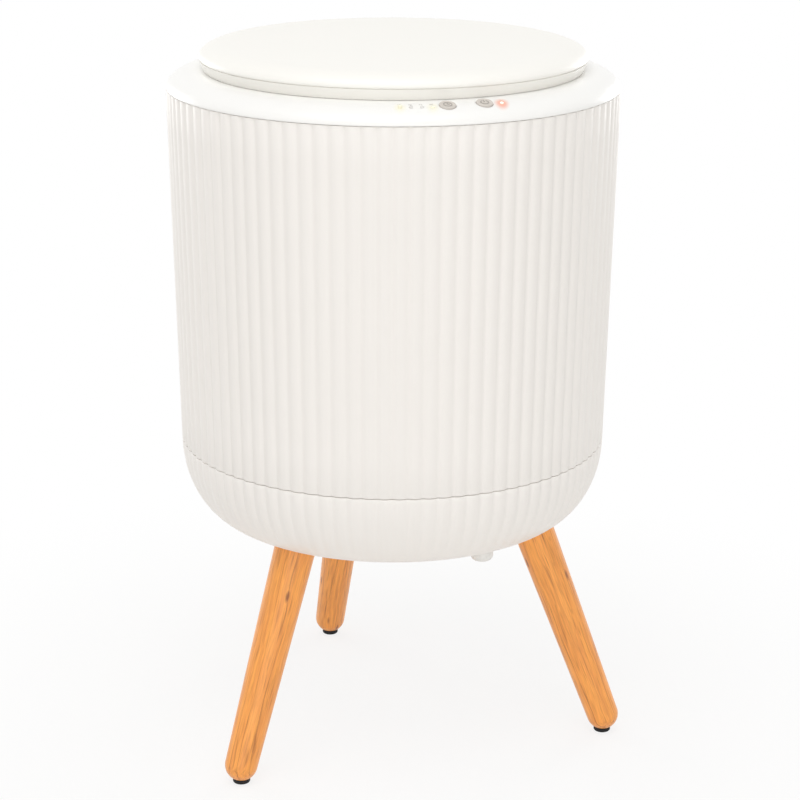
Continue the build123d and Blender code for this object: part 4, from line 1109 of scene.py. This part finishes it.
class WARMER_OT_insides(bpy.types.Operator):
    """Finish the bucket, heater, boards, leads and fixings"""

    bl_idname = "warmer.insides"
    bl_label = "Bucket and insides"

    def execute(self, context):
        # drawn aluminium, satin from spinning: rings of fine lines up the wall and round the floor
        dress(spun_metal("aluminium_spun_satin", linear("D9D9D7"), 0.34), "inner_bucket")
        dress(spun_metal("aluminium_rolled_sheet", linear("CFCFCE"), 0.42), "heat_shield", "rating_plate")
        dress(spun_metal("aluminium_rolled_foil", linear("E2E2E3"), 0.28, 1.5, 0.05), "heater_foil")
        # zinc on steel: grey and cloudy, on the fixings and the thermostat's case
        zinc = plated_metal("steel_zinc_plated", linear("B9B9B4"), 0.36)
        dress(zinc, "flange_screws", "lid_screws", "base_screws", "foot_screws", "weld_nuts", "leg_bolts")
        dress(zinc, "control_screws", "power_board_screws", "thermostat")
        # turned brass and aluminium: bright, with fine tool lines
        dress(plated_metal("brass_turned", linear("C9A45A"), 0.32), "leg_inserts")
        dress(plated_metal("aluminium_turned", linear("CBCBCB"), 0.34), "thermal_fuse")
        # glass-fibre felt round the heater: dull and tangled
        felt = needled_felt("glass_fibre_needled_felt", linear("E4DDC8"))
        dress(felt, "insulation_blanket", "floor_insulation")
        # boards under solder mask: glossy green, with the weave showing through
        board = masked_laminate("glass_epoxy_laminate_green", linear("1F6B3F"))
        dress(board, "control_board", "power_board")
        # plastic cases, sleeves and plugs: plain colours with a soft gloss
        for name, code, roughness, nodes in (
            ("pbt_moulded_black_case", "1B1B1C", 0.4, ("relay", "temperature_sensor")),
            ("polyester_taped_coil", "D8B93A", 0.35, ("transformer",)),
            ("pvc_sleeved_can", "22262C", 0.3, ("capacitor",)),
            ("polyamide_moulded_green", "2F7F4C", 0.4, ("terminal_block",)),
            ("polyamide_moulded_natural", "EAE7DC", 0.42, ("upper_plug", "lower_plug")),
            ("polyamide_moulded_white", "EFEDE8", 0.42, ("cord_gland", "gland_nut")),
        ):
            dress(moulded_plastic(name, linear(code), roughness), *nodes)
        # silicone-jacketed leads: matt red at the heater, off-white to the boards
        dress(moulded_rubber("silicone_extruded_red", linear("C24A34")), "heating_wire")
        leads = moulded_rubber("silicone_extruded_white", linear("DEDCD6"))
        dress(leads, "heater_leads", "control_harness")
        return {"FINISHED"}


class WARMER_OT_stage(bpy.types.Operator):
    """Set the pale floor, the soft studio light and the camera"""

    bl_idname = "warmer.stage"
    bl_label = "Studio"

    def execute(self, context):
        for step in (self.lay_floor, self.set_world, self.hang_lamps, self.aim_camera):
            step(context.scene, context.scene.warmer_stage)
        return {"FINISHED"}

    def lay_floor(self, scene, stage):
        """Painted studio floor: matt, and seen as plain white with a share of the object's shadow on it."""
        reach = 12.0
        corners = [(-reach, -reach, 0), (reach, -reach, 0), (reach, reach, 0), (-reach, reach, 0)]
        mesh = bpy.data.meshes.new("studio_floor")
        mesh.from_pydata(corners, [], [(0, 1, 2, 3)])
        floor = bpy.data.objects.new("studio_floor", mesh)
        scene.collection.objects.link(floor)
        material, tree, shader, place = new_material(
            "acrylic_painted_floor", Roughness=0.8, Specular_IOR_Level=0.1
        )
        cloud = add_node(tree, "TexNoise", {"Vector": place, "Scale": per(400), "Detail": 2.0})
        pattern_colour(tree, shader, stage.floor_colour, cloud, 0.995, 1.0)
        away = add_node(tree, "VectorMath", {0: place}, operation="LENGTH")
        # the shadow is left out altogether from 0.55 m on
        share = add_node(
            tree,
            "MapRange",
            {"Value": away, "From Min": 0.15, "From Max": 0.55, "To Min": 1 - stage.shadow, "To Max": 1.0},
            interpolation_type="SMOOTHSTEP",
        )
        seen = add_node(tree, "Math", {0: white_rays(tree), 1: share}, operation="MULTIPLY")
        white = add_node(tree, "Emission", {"Color": (1, 1, 1, 1), "Strength": 1.0})
        mixed = add_node(tree, "MixShader", {0: seen, 1: shader, 2: white})
        tree.links.new(mixed.outputs["Shader"], tree.nodes["Material Output"].inputs["Surface"])
        mesh.materials.append(material)

    def set_world(self, scene, stage):
        """White all round: plain white where it is seen, and weaker where it lights the object."""
        world = bpy.data.worlds.new("studio_white")
        world.use_nodes = True
        scene.world = world
        tree = world.node_tree
        tree.nodes.clear()
        strength = add_node(
            tree, "MapRange", {"Value": white_rays(tree), "To Min": stage.ambient, "To Max": 1.0}
        )
        sky = add_node(tree, "Background", {"Color": (1, 1, 1, 1), "Strength": strength})
        out = add_node(tree, "OutputWorld", {"Surface": sky})
        out.is_active_output = True

    def hang_lamps(self, scene, stage):
        """Softboxes overhead, in front and behind at both sides, all aimed at the middle of the body."""
        middle = Vector((0, 0, 0.3))
        for name, power, size, place in (
            ("overhead_softbox", stage.overhead, 1.6, (-0.5, -0.7, 2.4)),
            ("front_softbox", stage.front, 2.4, (-0.46, -2.36, 0.5)),
            ("right_softbox", stage.side, 1.0, (2.01, 1.31, 0.6)),
            ("left_softbox", stage.side * 0.9, 1.0, (-1.16, 2.10, 0.6)),
        ):
            lamp = bpy.data.lights.new(name, "AREA")
            lamp.energy = power
            lamp.size = size
            holder = bpy.data.objects.new(name, lamp)
            scene.collection.objects.link(holder)
            holder.location = place
            holder.rotation_euler = (middle - Vector(place)).to_track_quat("-Z", "Y").to_euler()

    def aim_camera(self, scene, stage):
        """Camera in front at the left, looking slightly down."""
        camera = bpy.data.cameras.new("camera")
        camera.sensor_width = 36
        camera.lens = stage.lens
        camera.clip_end = 100
        holder = bpy.data.objects.new("camera", camera)
        scene.collection.objects.link(holder)
        place = Matrix.Translation((-0.5238, -1.5773, 0.7664))
        heading = Matrix.Rotation(radians(-18.56), 4, "Z")
        tilt = Matrix.Rotation(radians(72.71), 4, "X")
        roll = Matrix.Rotation(radians(0.23), 4, "Z")
        holder.matrix_world = place @ heading @ tilt @ roll
        scene.camera = holder
        scene.view_settings.view_transform = "Standard"


OPERATORS = (
    WARMER_OT_shell,
    WARMER_OT_bowl,
    WARMER_OT_ring,
    WARMER_OT_lid,
    WARMER_OT_buttons,
    WARMER_OT_lamps,
    WARMER_OT_legs,
    WARMER_OT_insides,
    WARMER_OT_stage,
)


class WARMER_PT_panel(bpy.types.Panel):
    """Sizes, colours and pieces of the towel warmer"""

    bl_idname = "WARMER_PT_panel"
    bl_label = "Towel warmer"
    bl_space_type = "VIEW_3D"
    bl_region_type = "UI"
    bl_category = "Towel warmer"

    def draw(self, context):
        layout = self.layout
        for group, kind in SETTINGS.items():
            column = layout.column(align=True)
            column.label(text=kind.__doc__)
            for name in kind.__annotations__:
                column.prop(getattr(context.scene, group), name)
        for operator in OPERATORS:
            layout.operator(operator.bl_idname)


def register():
    for kind in (*SETTINGS.values(), *OPERATORS, WARMER_PT_panel):
        bpy.utils.register_class(kind)
    for group, kind in SETTINGS.items():
        setattr(bpy.types.Scene, group, PointerProperty(type=kind))


def unregister():
    for group in SETTINGS:
        delattr(bpy.types.Scene, group)
    for kind in (WARMER_PT_panel, *reversed(OPERATORS), *reversed(SETTINGS.values())):
        bpy.utils.unregister_class(kind)


def main():
    """Build every piece and the studio."""
    register()
    bpy.ops.warmer.stage()
    bpy.ops.warmer.shell()
    bpy.ops.warmer.bowl()
    bpy.ops.warmer.ring()
    bpy.ops.warmer.lid()
    bpy.ops.warmer.buttons()
    bpy.ops.warmer.lamps()
    bpy.ops.warmer.legs()
    bpy.ops.warmer.insides()


if __name__ == "__main__":
    main()
